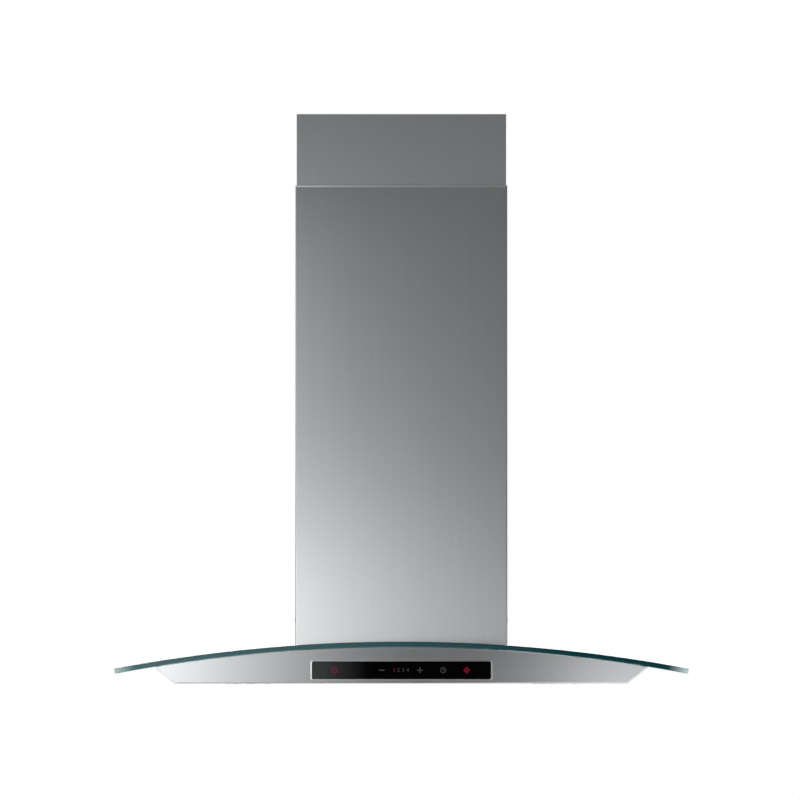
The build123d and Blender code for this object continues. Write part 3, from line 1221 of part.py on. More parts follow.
# Pivot blocks: nylon bearings for the filters' pins, standing on the canopy's floor
outer_block = OPENING_X + FILTER_WIDTH / 2 + FILTER_GAP + PIVOT_BLOCK_WIDTH / 2
with BuildPart() as filter_pivots:
    with BuildSketch(Plane.XY.offset(level(SHEET))):
        with Locations((0, -FILTER_PIVOT_DISTANCE)):
            Rectangle(CENTRE_BAR - 2 * FIT, PIVOT_BLOCK_DEPTH)
            with GridLocations(2 * outer_block, 0, 2, 1):
                Rectangle(PIVOT_BLOCK_WIDTH, PIVOT_BLOCK_DEPTH)
    extrude(amount=FILTER_THICKNESS)
    with BuildSketch(Plane.YZ):
        with Locations((-FILTER_PIVOT_DISTANCE, pivot_z)):
            Circle(FILTER_PIN_RADIUS + RUNNING_FIT)
    extrude(amount=CANOPY_WIDTH, both=True, mode=Mode.SUBTRACT)
save(filter_pivots.part, "filter_pivots")


# Wiring: control cable to the power board, and a lead from each lamp to the tray
def run_cable(points, radii, radius):
    """Round cable along a path of straight runs joined by tangent arcs."""
    with BuildPart() as cable:
        with BuildLine() as path:
            FilletPolyline(*points, radius=radii)
        with BuildSketch(Plane(origin=path.line @ 0, z_dir=path.line % 0)):
            Circle(radius)
        sweep()
    return cable.part


cable_rise_distance = BOX_FRONT - SHEET - CABLE_SPACE / 2
control_cable = run_cable(
    [
        (CABLE_X, -tray_back, level(CABLE_TRAY_HEIGHT)),
        (CABLE_X, -(tray_back - FRONT_BAY / 4), level(CABLE_TRAY_HEIGHT)),
        (CABLE_X, -(DIVIDER + FRONT_BAY / 6), level(CABLE_ROOF_HEIGHT)),
        (CABLE_X, -cable_rise_distance, level(CABLE_ROOF_HEIGHT)),
        (CABLE_X, -cable_rise_distance, level(CABLE_BOX_HEIGHT)),
        (CABLE_X, -board_back, level(CABLE_BOX_HEIGHT)),
    ],
    [CABLE_BEND, CABLE_BEND, CABLE_BEND, CABLE_SPACE / 2],
    CABLE_RADIUS,
)
save(control_cable, "control_cable")

lead_turn = (LAMP_OFFSET - LAMP_RADIUS + tray_width / 2) / 2
lead_end_distance = FASCIA - SHEET - TRAY_DEPTH / 2
lead_parts = [
    run_cable(
        [
            (side * (LAMP_OFFSET - LAMP_RADIUS), -LAMP_DISTANCE, level(LEAD_HEIGHT)),
            (side * (lead_turn + CABLE_BEND), -LAMP_DISTANCE, level(LEAD_HEIGHT)),
            (side * (lead_turn - CABLE_BEND), -lead_end_distance, level(LEAD_HEIGHT)),
            (side * tray_width / 2, -lead_end_distance, level(LEAD_HEIGHT)),
        ],
        [CABLE_BEND, CABLE_BEND],
        LEAD_RADIUS,
    )
    for side, _ in SIDES
]
with BuildPart() as lamp_leads:
    for lead in lead_parts:
        add(lead)
save(lamp_leads.part, "lamp_leads")
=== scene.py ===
import math

import bpy
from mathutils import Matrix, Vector


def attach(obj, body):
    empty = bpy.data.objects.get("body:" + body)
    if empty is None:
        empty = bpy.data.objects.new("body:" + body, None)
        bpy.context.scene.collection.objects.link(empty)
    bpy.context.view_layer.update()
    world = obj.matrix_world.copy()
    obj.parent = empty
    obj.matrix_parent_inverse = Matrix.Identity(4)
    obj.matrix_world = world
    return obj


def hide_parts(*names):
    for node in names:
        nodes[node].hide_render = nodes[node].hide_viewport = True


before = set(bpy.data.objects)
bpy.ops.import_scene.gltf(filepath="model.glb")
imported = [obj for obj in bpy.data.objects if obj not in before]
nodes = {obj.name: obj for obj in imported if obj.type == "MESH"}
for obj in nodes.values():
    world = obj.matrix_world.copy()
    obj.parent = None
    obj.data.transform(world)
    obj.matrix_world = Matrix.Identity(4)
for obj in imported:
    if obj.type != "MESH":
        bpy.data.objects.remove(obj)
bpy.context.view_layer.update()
bpy.ops.object.select_all(action="DESELECT")


# Viewpoint: a very long lens level with the glass and tilted up a trace, so that the hood is
# seen square from the front and neither the top of the glass nor the canopy's floor shows.
VIEW_HEIGHT = 1.2520
LENS = 1600.0
SENSOR = 36.0
EYE_LEVEL = -0.165
view_middle = Vector((-0.0022, -0.47, 0.2336))
view_distance = VIEW_HEIGHT * LENS / SENSOR
bpy.ops.object.camera_add(location=(view_middle.x, view_middle.y - view_distance, EYE_LEVEL))
camera = bpy.context.object
camera.rotation_euler = (view_middle - camera.location).to_track_quat("-Z", "Y").to_euler()
camera.data.sensor_width = SENSOR
camera.data.lens = LENS
camera.data.clip_end = 2 * view_distance
bpy.context.scene.camera = camera
bpy.context.scene.view_settings.view_transform = "Standard"


# Studio: a white surround and a pale floor far below, open to view from underneath. Both show
# directly and through the glass, and the steel mirrors a dim room instead.
def linear(code):
    """Linear colour of an sRGB hex code."""
    parts = [int(code[i:i + 2], 16) / 255 for i in (1, 3, 5)]
    return [c / 12.92 if c <= 0.04045 else ((c + 0.055) / 1.055) ** 2.4 for c in parts] + [1.0]


def fill(tree, made, values):
    """Sets a node's inputs to values, or links them from other nodes' sockets."""
    for socket, value in values.items():
        if isinstance(value, bpy.types.NodeSocket):
            tree.links.new(value, made.inputs[socket])
        else:
            made.inputs[socket].default_value = value


def add_node(tree, kind, values=None, **settings):
    """Adds one shader node with its settings and its inputs."""
    made = tree.nodes.new("ShaderNode" + kind)
    for name, setting in settings.items():
        setattr(made, name, setting)
    fill(tree, made, values or {})
    return made


SURROUND = "#ffffff"
ROOM = "#5a5b5d"
FLOOR = "#f4f4f3"
FLOOR_SHADE = "#8c8c8b"
FLOOR_LEVEL = -1.75
FLOOR_WIDTH = 60.0

world = bpy.context.scene.world or bpy.data.worlds.new("studio")
bpy.context.scene.world = world
world.use_nodes = True
tree = world.node_tree
tree.nodes.clear()
rays = add_node(tree, "LightPath").outputs
seen = add_node(
    tree, "Math", {0: rays["Is Camera Ray"], 1: rays["Is Transmission Ray"]}, operation="MAXIMUM"
).outputs[0]
white = add_node(tree, "Background", {"Color": linear(SURROUND)}).outputs[0]
room = add_node(tree, "Background", {"Color": linear(ROOM)}).outputs[0]
both = add_node(tree, "MixShader", {0: seen, 1: room, 2: white}).outputs[0]
add_node(tree, "OutputWorld", {"Surface": both})

bpy.ops.mesh.primitive_plane_add(size=FLOOR_WIDTH, location=(0.0, 0.0, FLOOR_LEVEL))
floor = bpy.context.object
floor.name = "studio_floor"
floor_paint = bpy.data.materials.new("studio_floor_paint")
floor_paint.use_nodes = True
tree = floor_paint.node_tree
tree.nodes.clear()
rays = add_node(tree, "LightPath").outputs
seen = add_node(
    tree, "Math", {0: rays["Is Camera Ray"], 1: rays["Is Transmission Ray"]}, operation="MAXIMUM"
).outputs[0]
matt = add_node(tree, "BsdfDiffuse", {"Color": linear(FLOOR_SHADE)}).outputs[0]
lit = add_node(tree, "Emission", {"Color": linear(FLOOR)}).outputs[0]
clear = add_node(tree, "BsdfTransparent").outputs[0]
under = add_node(tree, "NewGeometry").outputs["Backfacing"]
pale = add_node(tree, "MixShader", {0: seen, 1: matt, 2: lit}).outputs[0]
sheet = add_node(tree, "MixShader", {0: under, 1: pale, 2: clear}).outputs[0]
add_node(tree, "OutputMaterial", {"Surface": sheet})
floor.data.materials.append(floor_paint)


# Soft boxes: each has a place, a width, a height and a power in watts, and faces the hood.
# The first four shade the steel from light below left to dark above right and lift the canopy's
# right end. The rest light the top, the sides, the lower folds, the back and the underside.
HOOD_MIDDLE = Vector((0.0, -0.25, 0.05))
SOFT_BOXES = (
    ((-0.65, -2.15, -0.15), 1.05, 0.3, 3.1),
    ((-0.6, -1.55, 0.1), 0.6, 0.9, 2.5),
    ((0.55, -0.8, -0.5), 1.1, 0.8, 4.4),
    ((0.2, -1.05, 0.65), 0.5, 1.2, 0.1),
    ((-1.5, -2.0, 1.9), 1.6, 1.2, 2.7),
    ((1.5, -2.0, 1.9), 1.6, 1.2, 2.7),
    ((-2.6, 0.9, 0.9), 1.2, 1.6, 12.0),
    ((2.6, 0.9, 0.9), 1.2, 1.6, 12.0),
    ((-1.15, -1.45, -1.0), 0.9, 0.9, 7.0),
    ((-0.6, -1.35, -1.3), 1.2, 0.5, 3.2),
    ((-1.8, -0.25, -0.8), 0.4, 1.0, 8.0),
    ((1.8, -0.25, -0.8), 0.4, 1.0, 8.0),
    ((0.0, 2.6, 1.2), 1.8, 1.4, 40.0),
    ((-2.0, 2.4, -0.2), 1.4, 1.4, 3.0),
    ((2.0, 2.4, -0.2), 1.4, 1.4, 3.0),
    ((0.0, 0.0, -1.5), 1.6, 0.5, 3.6),
)
for place, width, height, power in SOFT_BOXES:
    bpy.ops.object.light_add(type="AREA", location=place)
    box = bpy.context.object
    box.rotation_euler = (HOOD_MIDDLE - box.location).to_track_quat("-Z", "Y").to_euler()
    box.data.shape = "RECTANGLE"
    box.data.size = width
    box.data.size_y = height
    box.data.energy = power
    box.visible_camera = False


# Wall plate, blower box, lid, ties, bracket, top plate, divider and motor spider: cut and folded
# from zinc-coated sheet. The wall plate is screwed to the wall and carries the blower box.
def new_finish(name):
    """Starts a material and returns it with its tree, its shader and its object coordinates."""
    finish = bpy.data.materials.new(name)
    finish.use_nodes = True
    tree = finish.node_tree
    place = add_node(tree, "TexCoord").outputs["Object"]
    return finish, tree, tree.nodes["Principled BSDF"], place


def dress(finish, *names):
    """Gives solids that already have their shape a finish."""
    for name in names:
        for slot in nodes[name].material_slots:
            slot.material = finish


# Galvanised sheet: the zinc crystallises into dull grey flakes about a centimetre across.
FLAKE = 0.009
CLOUD = 0.055
zinc, tree, shader, place = new_finish("galvanised_sheet")
flakes = add_node(tree, "TexVoronoi", {"Vector": place, "Scale": 1 / FLAKE}).outputs["Color"]
cloud = add_node(tree, "TexNoise", {"Vector": place, "Scale": 1 / CLOUD}).outputs["Fac"]
flake = add_node(tree, "RGBToBW", {"Color": flakes}).outputs[0]
tone = add_node(
    tree, "Mix", {0: flake, 6: linear("#9ea4a8"), 7: linear("#c6cacc")}, data_type="RGBA"
).outputs[2]
rough = add_node(tree, "MapRange", {"Value": cloud, "To Min": 0.34, "To Max": 0.55}).outputs[0]
fill(tree, shader, {"Base Color": tone, "Metallic": 0.9, "Roughness": rough})
dress(zinc, "wall_plate", "blower_box", "blower_lid", "chimney_ties", "chimney_bracket")
dress(zinc, "canopy_top_plate", "plenum_divider", "motor_spider")


# Blower and outlet: scroll halves and wheel in the blower box, and collar and flaps on its lid.
# All are injection moulded, and the spark-eroded moulds give them a satin skin of fine pits.
SPARK = 0.0012


def moulded(name, pale, dark, dull):
    """Plastic with a sparked skin, its pits drawn coarser than life, and `dull` roughness."""
    finish, tree, shader, place = new_finish(name)
    grain = add_node(
        tree, "TexNoise", {"Vector": place, "Scale": 1 / SPARK, "Detail": 3.0}
    ).outputs["Fac"]
    flow = add_node(tree, "TexNoise", {"Vector": place, "Scale": 1 / CLOUD}).outputs["Fac"]
    tone = add_node(
        tree, "Mix", {0: flow, 6: linear(dark), 7: linear(pale)}, data_type="RGBA"
    ).outputs[2]
    rough = add_node(
        tree, "MapRange", {"Value": grain, "To Min": dull - 0.08, "To Max": dull + 0.08}
    ).outputs[0]
    pits = add_node(
        tree, "Bump", {"Height": grain, "Strength": 0.25, "Distance": SPARK / 8}
    ).outputs[0]
    fill(tree, shader, {"Base Color": tone, "Roughness": rough, "Normal": pits})
    return finish


# Polypropylene is mid grey here, glass-filled nylon darker and ABS nearly black, all satin.
scroll_plastic = moulded("polypropylene_moulded_grey", "#5a5d60", "#4b4e51", 0.5)
dress(scroll_plastic, "scroll_left", "scroll_right")
dress(moulded("glass_filled_nylon_moulded", "#3b3d40", "#2f3134", 0.42), "fan_wheel")
dress(moulded("abs_moulded_black", "#26272a", "#1e1f21", 0.46), "outlet_collar")
flap_plastic = moulded("abs_moulded_dark_grey", "#3c3e42", "#323438", 0.5)
dress(flap_plastic, "damper_flap_left", "damper_flap_right")


# Motor: a painted can with an end shield, ground shaft and bearings, and stacks of stamped
# laminations, carried by the spider in the right inlet. The flaps' pin is ground like the shaft.
AWRY = (0.003, 0.004, 0.002)


def brushed_metal(name, grain, runs, spread, pale, dark, smooth, dull):
    """Streaky metal: `grain` is a streak's size along x, y and z. Highlights spread across `runs`."""
    finish, tree, shader, place = new_finish(name)
    streaks = [1 / size for size in grain]
    run = add_node(tree, "Mapping", {"Vector": place, "Scale": streaks}).outputs[0]
    streak = add_node(
        tree, "TexNoise", {"Vector": run, "Scale": 1.0, "Detail": 4.0, "Roughness": 0.65}
    ).outputs["Fac"]
    tone = add_node(
        tree, "Mix", {0: streak, 6: linear(dark), 7: linear(pale)}, data_type="RGBA"
    ).outputs[2]
    rough = add_node(
        tree, "MapRange", {"Value": streak, "To Min": smooth, "To Max": dull}
    ).outputs[0]
    facing = add_node(tree, "NewGeometry").outputs["Normal"]
    sideways = add_node(
        tree, "VectorMath", {0: facing, 1: runs}, operation="CROSS_PRODUCT"
    ).outputs[0]
    # A trace of slant keeps the direction from vanishing on a face that looks along the grain.
    across = add_node(tree, "VectorMath", {0: sideways, 1: AWRY}).outputs[0]
    fill(
        tree,
        shader,
        {
            "Base Color": tone,
            "Metallic": 1.0,
            "Roughness": rough,
            "Anisotropic": spread,
            "Tangent": across,
        },
    )
    return finish


# Stoving paint is half glossy, ground steel has fine rings, and a stack shows the edges of its
# laminations. Rings and laminations are drawn coarser than life.
ALONG_X = (1.0, 0.0, 0.0)
RINGS = (0.00111, 0.25, 0.25)
LAMINATIONS = (0.000714, 0.5, 0.5)
motor_paint = moulded("motor_stoving_paint", "#2d2f33", "#25272b", 0.35)
dress(motor_paint, "motor_can", "motor_end_shield")
ground_steel = brushed_metal(
    "bearing_steel_ground", RINGS, ALONG_X, 0.3, "#c4c6c8", "#aeb1b4", 0.18, 0.30
)
dress(ground_steel, "motor_shaft", "motor_bearings", "damper_pin")
stack = brushed_metal(
    "electrical_steel_stack", LAMINATIONS, ALONG_X, 0.4, "#8d9196", "#5f6367", 0.35, 0.55
)
dress(stack, "motor_stator", "motor_rotor")


# Screws and spring clips: rolled or pressed from steel and zinc plated, which leaves them a
# slightly clouded blue-grey. The clips stand on the canopy's floor and catch the filters' fronts.
PLATING = (0.00333, 0.00333, 0.00333)
plated_steel = brushed_metal(
    "steel_zinc_plated", PLATING, ALONG_X, 0.0, "#b9bcbf", "#a4a8ac", 0.26, 0.4
)
dress(plated_steel, "glass_screws", "spider_screws", "lower_chimney_screws")
dress(plated_steel, "upper_chimney_screws", "filter_clip_left", "filter_clip_right")


# Lid and collar screws: hexagon-headed self-tapping screws with a pressed washer, zinc plated.
# They hold the lid on the blower box and the outlet collar on the lid.
WASHER, WASHER_RISE, WASHER_SIDES = 0.0058, 0.0008, 24
HEXAGON, HEXAGON_RISE, HEXAGON_SIDES = 0.0042, 0.0026, 6
DISH, DISH_DEPTH = 0.0011, 0.0006
LID_TOP, LID_EDGE = 0.1409, 0.120
LID_ROWS = (-0.014, -0.120, -0.226)
LID_FRONT_PLACES = (-0.045, 0.030)
FLANGE_TOP = 0.1424
COLLAR_Y, COLLAR_REACH = -0.0943, 0.0576
lid_screws = [(side * LID_EDGE, y, LID_TOP) for side in (-1, 1) for y in LID_ROWS]
lid_screws += [(x, LID_ROWS[-1], LID_TOP) for x in LID_FRONT_PLACES]
collar_screws = [
    (i * COLLAR_REACH, COLLAR_Y + j * COLLAR_REACH, FLANGE_TOP) for i in (-1, 1) for j in (-1, 1)
]


def select_only(piece):
    """Makes one piece the only one that an operator acts on."""
    bpy.ops.object.select_all(action="DESELECT")
    piece.select_set(True)
    bpy.context.view_layer.objects.active = piece


def settle(piece):
    """Puts a piece's place, turn and size into its mesh."""
    select_only(piece)
    bpy.ops.object.transform_apply(location=True, rotation=True, scale=True)


bpy.ops.mesh.primitive_circle_add(vertices=WASHER_SIDES, radius=WASHER, fill_type="NGON")
pattern = bpy.context.object
bpy.ops.object.mode_set(mode="EDIT")
bpy.ops.mesh.extrude_region_move(TRANSFORM_OT_translate={"value": (0.0, 0.0, WASHER_RISE)})
bpy.ops.mesh.inset(thickness=DISH / 2)
bpy.ops.mesh.select_all(action="DESELECT")
bpy.ops.mesh.primitive_circle_add(
    vertices=HEXAGON_SIDES, radius=HEXAGON, fill_type="NGON", location=(0.0, 0.0, WASHER_RISE)
)
bpy.ops.mesh.extrude_region_move(TRANSFORM_OT_translate={"value": (0.0, 0.0, HEXAGON_RISE)})
bpy.ops.mesh.inset(thickness=DISH)
bpy.ops.transform.translate(value=(0.0, 0.0, -DISH_DEPTH))
bpy.ops.mesh.select_all(action="SELECT")
bpy.ops.mesh.normals_make_consistent()
bpy.ops.object.mode_set(mode="OBJECT")
for name, places in (("lid_screws", lid_screws), ("collar_screws", collar_screws)):
    copies = []
    for place in places:
        select_only(pattern)
        bpy.ops.object.duplicate()
        bpy.context.object.location = place
        copies.append(bpy.context.object)
    for copy in copies:
        copy.select_set(True)
    bpy.ops.object.join()
    screws = bpy.context.object
    screws.name = name
    settle(screws)
    screws.data.materials.append(plated_steel)
    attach(screws, "hood")
bpy.data.objects.remove(pattern)


# Electronics: a moulded box of pale flame-retardant plastic on the front of the blower box, with
# a gland for the mains and a cable to the touch control. The motor's capacitor stands on the lid.
# Flame-retardant ABS is a warm white, nylon black or creamy, and the cable's sheath a dull grey.
box_plastic = moulded("flame_retardant_abs_moulded", "#d9d8d2", "#cfcec7", 0.48)
dress(box_plastic, "electronics_tray", "electronics_cover")
dark_nylon = moulded("nylon_moulded_black", "#232426", "#1b1c1e", 0.4)
dress(dark_nylon, "cable_gland")
sheath = moulded("pvc_sheath_grey", "#77797c", "#6a6c6f", 0.45)
dress(sheath, "control_cable")
nylon = moulded("nylon_moulded_natural", "#dddad0", "#d2cec3", 0.4)
dress(nylon, "motor_capacitor")

# The board is green laminate, and its tracks show as a net of paler lines, drawn coarser than life.
TRACK = 0.004
board, tree, shader, place = new_finish("circuit_board_green")
tracks = add_node(
    tree,
    "TexBrick",
    {
        "Vector": place,
        "Color1": linear("#1d5b38"),
        "Color2": linear("#236a41"),
        "Mortar": linear("#8fb58a"),
        "Scale": 1 / TRACK,
        "Mortar Size": 0.06,
    },
).outputs["Color"]
fill(tree, shader, {"Base Color": tracks, "Roughness": 0.35})
dress(board, "power_board")


# Canopy shell: a tray with the fascia, folded from stainless sheet that was brushed along its
# length, so that its highlights spread up and down. Streaks are drawn three millimetres wide,
# far wider than real scratches.
STREAK, STREAK_RUN = 0.00303, 0.4
fascia_steel = brushed_metal(
    "stainless_brushed_lengthwise",
    (STREAK_RUN, STREAK, STREAK),
    ALONG_X,
    0.75,
    "#d0d2d3",
    "#c9cbcc",
    0.3,
    0.32,
)
dress(fascia_steel, "canopy_shell")


# Canopy glass: one bent sheet of clear float glass with ground and polished edges. It lies on a
# black silicone seal on the canopy, under the blower box's flange and screws in nylon bushes.
GLASS_HALF = 0.450
GLASS_BACK, GLASS_FRONT = -0.002, -0.490
GLASS_CORNER, CORNER_STEPS = 0.025, 10
GLASS_SHEET = 0.008
GLASS_GRIND, GRIND_STEPS = 0.0008, 3
GRIND_ANGLE = math.radians(50)
SMOOTH_ANGLE = math.radians(30)
BEND = 2.4290
BEND_CENTRE = -2.5736
BEND_STRIPS = 60
WELD = 0.00005
NOTCH_HALF, NOTCH_FRONT = 0.134, -0.2423
BUSH_HOLE, BUSH_SIDES = 0.00505, 32
BUSH_X, BUSH_ROWS = 0.148, (-0.042, -0.2133)
NEAR_LEVEL = 0.9
ALONG_Y = (0.0, 1.0, 0.0)


def apply_all(piece):
    """Applies a piece's modifiers in order."""
    select_only(piece)
    for modifier in list(piece.modifiers):
        bpy.ops.object.modifier_apply(modifier=modifier.name)


def pick(piece, kind, test):
    """Goes to edit mode with only those vertices or faces selected that pass a test."""
    bpy.ops.object.mode_set(mode="EDIT")
    bpy.ops.mesh.select_mode(type=kind)
    bpy.ops.mesh.select_all(action="DESELECT")
    bpy.ops.object.mode_set(mode="OBJECT")
    parts = piece.data.vertices if kind == "VERT" else piece.data.polygons
    for part in parts:
        part.select = test(part)
    bpy.ops.object.mode_set(mode="EDIT")


def cut_across(spot, facing, clear_outer=False):
    """Cuts the whole mesh in edit mode along a plane, and may clear what lies beyond it."""
    bpy.ops.mesh.select_all(action="SELECT")
    bpy.ops.mesh.bisect(plane_co=spot, plane_no=facing, clear_outer=clear_outer)


# Extruded silicone is matt and black, and the seal is painted so dark that it also stands in for the
# shadow line under the glass.
dress(moulded("silicone_black_and_painted_shadow_line", "#2a3234", "#222a2c", 0.55), "glass_seal")
dress(nylon, "glass_bushes")

bpy.ops.mesh.primitive_plane_add(size=1.0, location=(0.0, (GLASS_BACK + GLASS_FRONT) / 2, 0.0))
glass = bpy.context.object
glass.name = "bent_glass"
glass.scale = (2 * GLASS_HALF, GLASS_BACK - GLASS_FRONT, 1.0)
settle(glass)
pick(glass, "VERT", lambda vertex: vertex.co.y < NOTCH_FRONT)
bpy.ops.mesh.bevel(offset=GLASS_CORNER, segments=CORNER_STEPS, affect="VERTICES", profile=0.5)
for k in range(1, BEND_STRIPS):
    cut_across((GLASS_HALF * (2 * k / BEND_STRIPS - 1), 0.0, 0.0), ALONG_X)
for x in (-NOTCH_HALF, NOTCH_HALF):
    cut_across((x, 0.0, 0.0), ALONG_X)
cut_across((0.0, NOTCH_FRONT, 0.0), ALONG_Y)
pick(
    glass,
    "FACE",
    lambda face: abs(face.center.x) < NOTCH_HALF and face.center.y > NOTCH_FRONT,
)
bpy.ops.mesh.delete(type="FACE")
bpy.ops.mesh.select_all(action="SELECT")
bpy.ops.mesh.remove_doubles(threshold=WELD)
bpy.ops.object.mode_set(mode="OBJECT")
for vertex in glass.data.vertices:
    vertex.co.z = BEND_CENTRE + math.sqrt(BEND**2 - vertex.co.x**2)
thicken = glass.modifiers.new("sheet", "SOLIDIFY")
thicken.thickness = GLASS_SHEET
thicken.offset = -1.0
ground = glass.modifiers.new("ground_edge", "BEVEL")
ground.width = GLASS_GRIND
ground.segments = GRIND_STEPS
ground.limit_method = "ANGLE"
ground.angle_limit = GRIND_ANGLE
apply_all(glass)
for x, y in [(side * BUSH_X, row) for side in (1, -1) for row in BUSH_ROWS]:
    lean = math.asin(x / BEND)
    bpy.ops.mesh.primitive_cylinder_add(
        vertices=BUSH_SIDES,
        radius=BUSH_HOLE,
        depth=4 * GLASS_SHEET,
        location=(x, y, BEND_CENTRE + BEND * math.cos(lean)),
        rotation=(0.0, lean, 0.0),
    )
    drill = bpy.context.object
    hole = glass.modifiers.new("bush_hole", "BOOLEAN")
    hole.object = drill
    apply_all(glass)
    bpy.data.objects.remove(drill)
select_only(glass)
bpy.ops.object.shade_smooth_by_angle(angle=SMOOTH_ANGLE)

# Float glass is almost colourless through its face, with a faint uneven film of wear.
clear_glass, tree, shader, place = new_finish("float_glass")
haze = add_node(tree, "TexNoise", {"Vector": place, "Scale": 1 / CLOUD}).outputs["Fac"]
film = add_node(tree, "MapRange", {"Value": haze, "To Min": 0.0, "To Max": 0.04}).outputs[0]
fill(
    tree,
    shader,
    {
        "Base Color": linear("#e3f3ee"),
        "Roughness": film,
        "IOR": 1.52,
        "Transmission Weight": 1.0,
    },
)

# Its edge looks deep green, because the eye looks through the width of the sheet there. Painted
# light makes it lighter towards the left, and a painted highlight makes it pale at the rounded
# corners.
DEEP_GREEN_X = 0.27
HIGHLIGHT_START, HIGHLIGHT_END = 0.4175, 0.465
glass_edge, tree, shader, place = new_finish("float_glass_polished_edge")
along = add_node(tree, "SeparateXYZ", {"Vector": place}).outputs["X"]
painted_light_fade = add_node(
    tree, "MapRange", {"Value": along, "From Min": -GLASS_HALF, "From Max": DEEP_GREEN_X}
).outputs[0]
green_and_painted_light = add_node(
    tree, "Mix", {0: painted_light_fade, 6: linear("#50777a"), 7: linear("#07383d")}, data_type="RGBA"
).outputs[2]
outward = add_node(tree, "Math", {0: along}, operation="ABSOLUTE").outputs[0]
painted_corner_highlight = add_node(
    tree, "MapRange", {"Value": outward, "From Min": HIGHLIGHT_START, "From Max": HIGHLIGHT_END}
).outputs[0]
tone = add_node(
    tree, "Mix", {0: painted_corner_highlight, 6: green_and_painted_light, 7: linear("#d2ebe7")}, data_type="RGBA"
).outputs[2]
fill(tree, shader, {"Base Color": tone, "Roughness": 0.3, "Specular IOR Level": 0.03})
glass.data.materials.append(clear_glass)
glass.data.materials.append(glass_edge)
for face in glass.data.polygons:
    face.material_index = 0 if abs(face.normal.z) > NEAR_LEVEL else 1
# The sheet casts no shadow, so that the lamps reach what lies under it, and the steel doesn't
# mirror it, which would put a bright strip on the chimney's foot.
glass.visible_glossy = False
glass.visible_shadow = False
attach(glass, "hood")
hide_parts("glass_canopy")


# Chimneys: folded from stainless sheet brushed from top to bottom, so that highlights spread
# sideways. The upper one slides inside the lower one on nylon glides and is a little duller.
UPRIGHT = (0.0, 0.0, 1.0)
chimney_grain = (STREAK, STREAK, STREAK_RUN)
chimney_steel = brushed_metal(
    "stainless_brushed_upright",
    chimney_grain,
    UPRIGHT,
    0.55,
    "#d0d2d3",
    "#c9cbcc",
    0.29,
    0.31,
)
dress(chimney_steel, "lower_chimney")
upper_steel = brushed_metal(
    "stainless_brushed_upright_matt",
    chimney_grain,
    UPRIGHT,
    0.3,
    "#d4d6d7",
    "#cdcfd0",
    0.37,
    0.39,
)
dress(upper_steel, "upper_chimney")
dress(nylon, "chimney_glides")


# Chimney hem: the lower chimney's top edge is folded over on itself, so that it stands a little
# proud and its fold catches the light under the upper chimney. Its steel is painted near white as
# a painted highlight along the fold.
HEM_HALF = 0.16685
HEM_FRONT, HEM_BACK = -0.28035, -0.0045
HEM_TOP, HEM_HEIGHT = 0.5721, 0.0030
HEM_SHEET = 0.0012
HEM_CORNER, HEM_CORNER_STEPS = 0.00195, 6
HEM_ROUND, HEM_ROUND_STEPS = 0.0001, 2
HEM_SMOOTH_ANGLE = math.radians(20)

bpy.ops.mesh.primitive_plane_add(
    size=1.0, location=(0.0, (HEM_FRONT + HEM_BACK) / 2, HEM_TOP - HEM_HEIGHT)
)
hem = bpy.context.object
hem.name = "lower_chimney_hem"
hem.scale = (2 * HEM_HALF, HEM_BACK - HEM_FRONT, 1.0)
settle(hem)
pick(hem, "VERT", lambda vertex: vertex.co.y < HEM_FRONT / 2)
bpy.ops.mesh.bevel(offset=HEM_CORNER, segments=HEM_CORNER_STEPS, affect="VERTICES", profile=0.5)
bpy.ops.mesh.select_all(action="SELECT")
bpy.ops.mesh.delete(type="ONLY_FACE")
pick(hem, "VERT", lambda vertex: vertex.co.y > 2 * HEM_BACK)
bpy.ops.mesh.select_mode(type="EDGE")
bpy.ops.mesh.delete(type="EDGE")
bpy.ops.mesh.select_all(action="SELECT")
bpy.ops.mesh.extrude_region_move(TRANSFORM_OT_translate={"value": (0.0, 0.0, HEM_HEIGHT)})
bpy.ops.mesh.select_all(action="SELECT")
bpy.ops.mesh.normals_make_consistent()
bpy.ops.object.mode_set(mode="OBJECT")
fold = hem.modifiers.new("fold", "SOLIDIFY")
fold.thickness = HEM_SHEET
fold.offset = -1.0
apply_all(hem)
pick(hem, "FACE", lambda face: face.normal.z > NEAR_LEVEL)
bpy.ops.mesh.region_to_loop()
bpy.ops.mesh.bevel(offset=HEM_ROUND, segments=HEM_ROUND_STEPS, affect="EDGES")
bpy.ops.object.mode_set(mode="OBJECT")
bpy.ops.object.shade_smooth_by_angle(angle=HEM_SMOOTH_ANGLE)
# The hem's steel is painted near white, brighter than the chimney's: a painted highlight.
hem_steel = brushed_metal(
    "stainless_hem_painted_highlight",
    chimney_grain,
    UPRIGHT,
    0.45,
    "#ffffff",
    "#f8f9f9",
    0.3,
    0.32,
)
hem.data.materials.append(hem_steel)
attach(hem, "hood")


# Touch control: a strip of black-backed float glass in a steel rim, which sits in the fascia's
# window, with a board and a moulded tray behind it.
PANEL_LEVEL = -0.1893
RIM_LONG_SIDE = 0.0143
PANEL_LEFT, REFLECTION_FADE_END = -0.14, -0.045
dress(box_plastic, "control_tray")
dress(board, "touch_board")

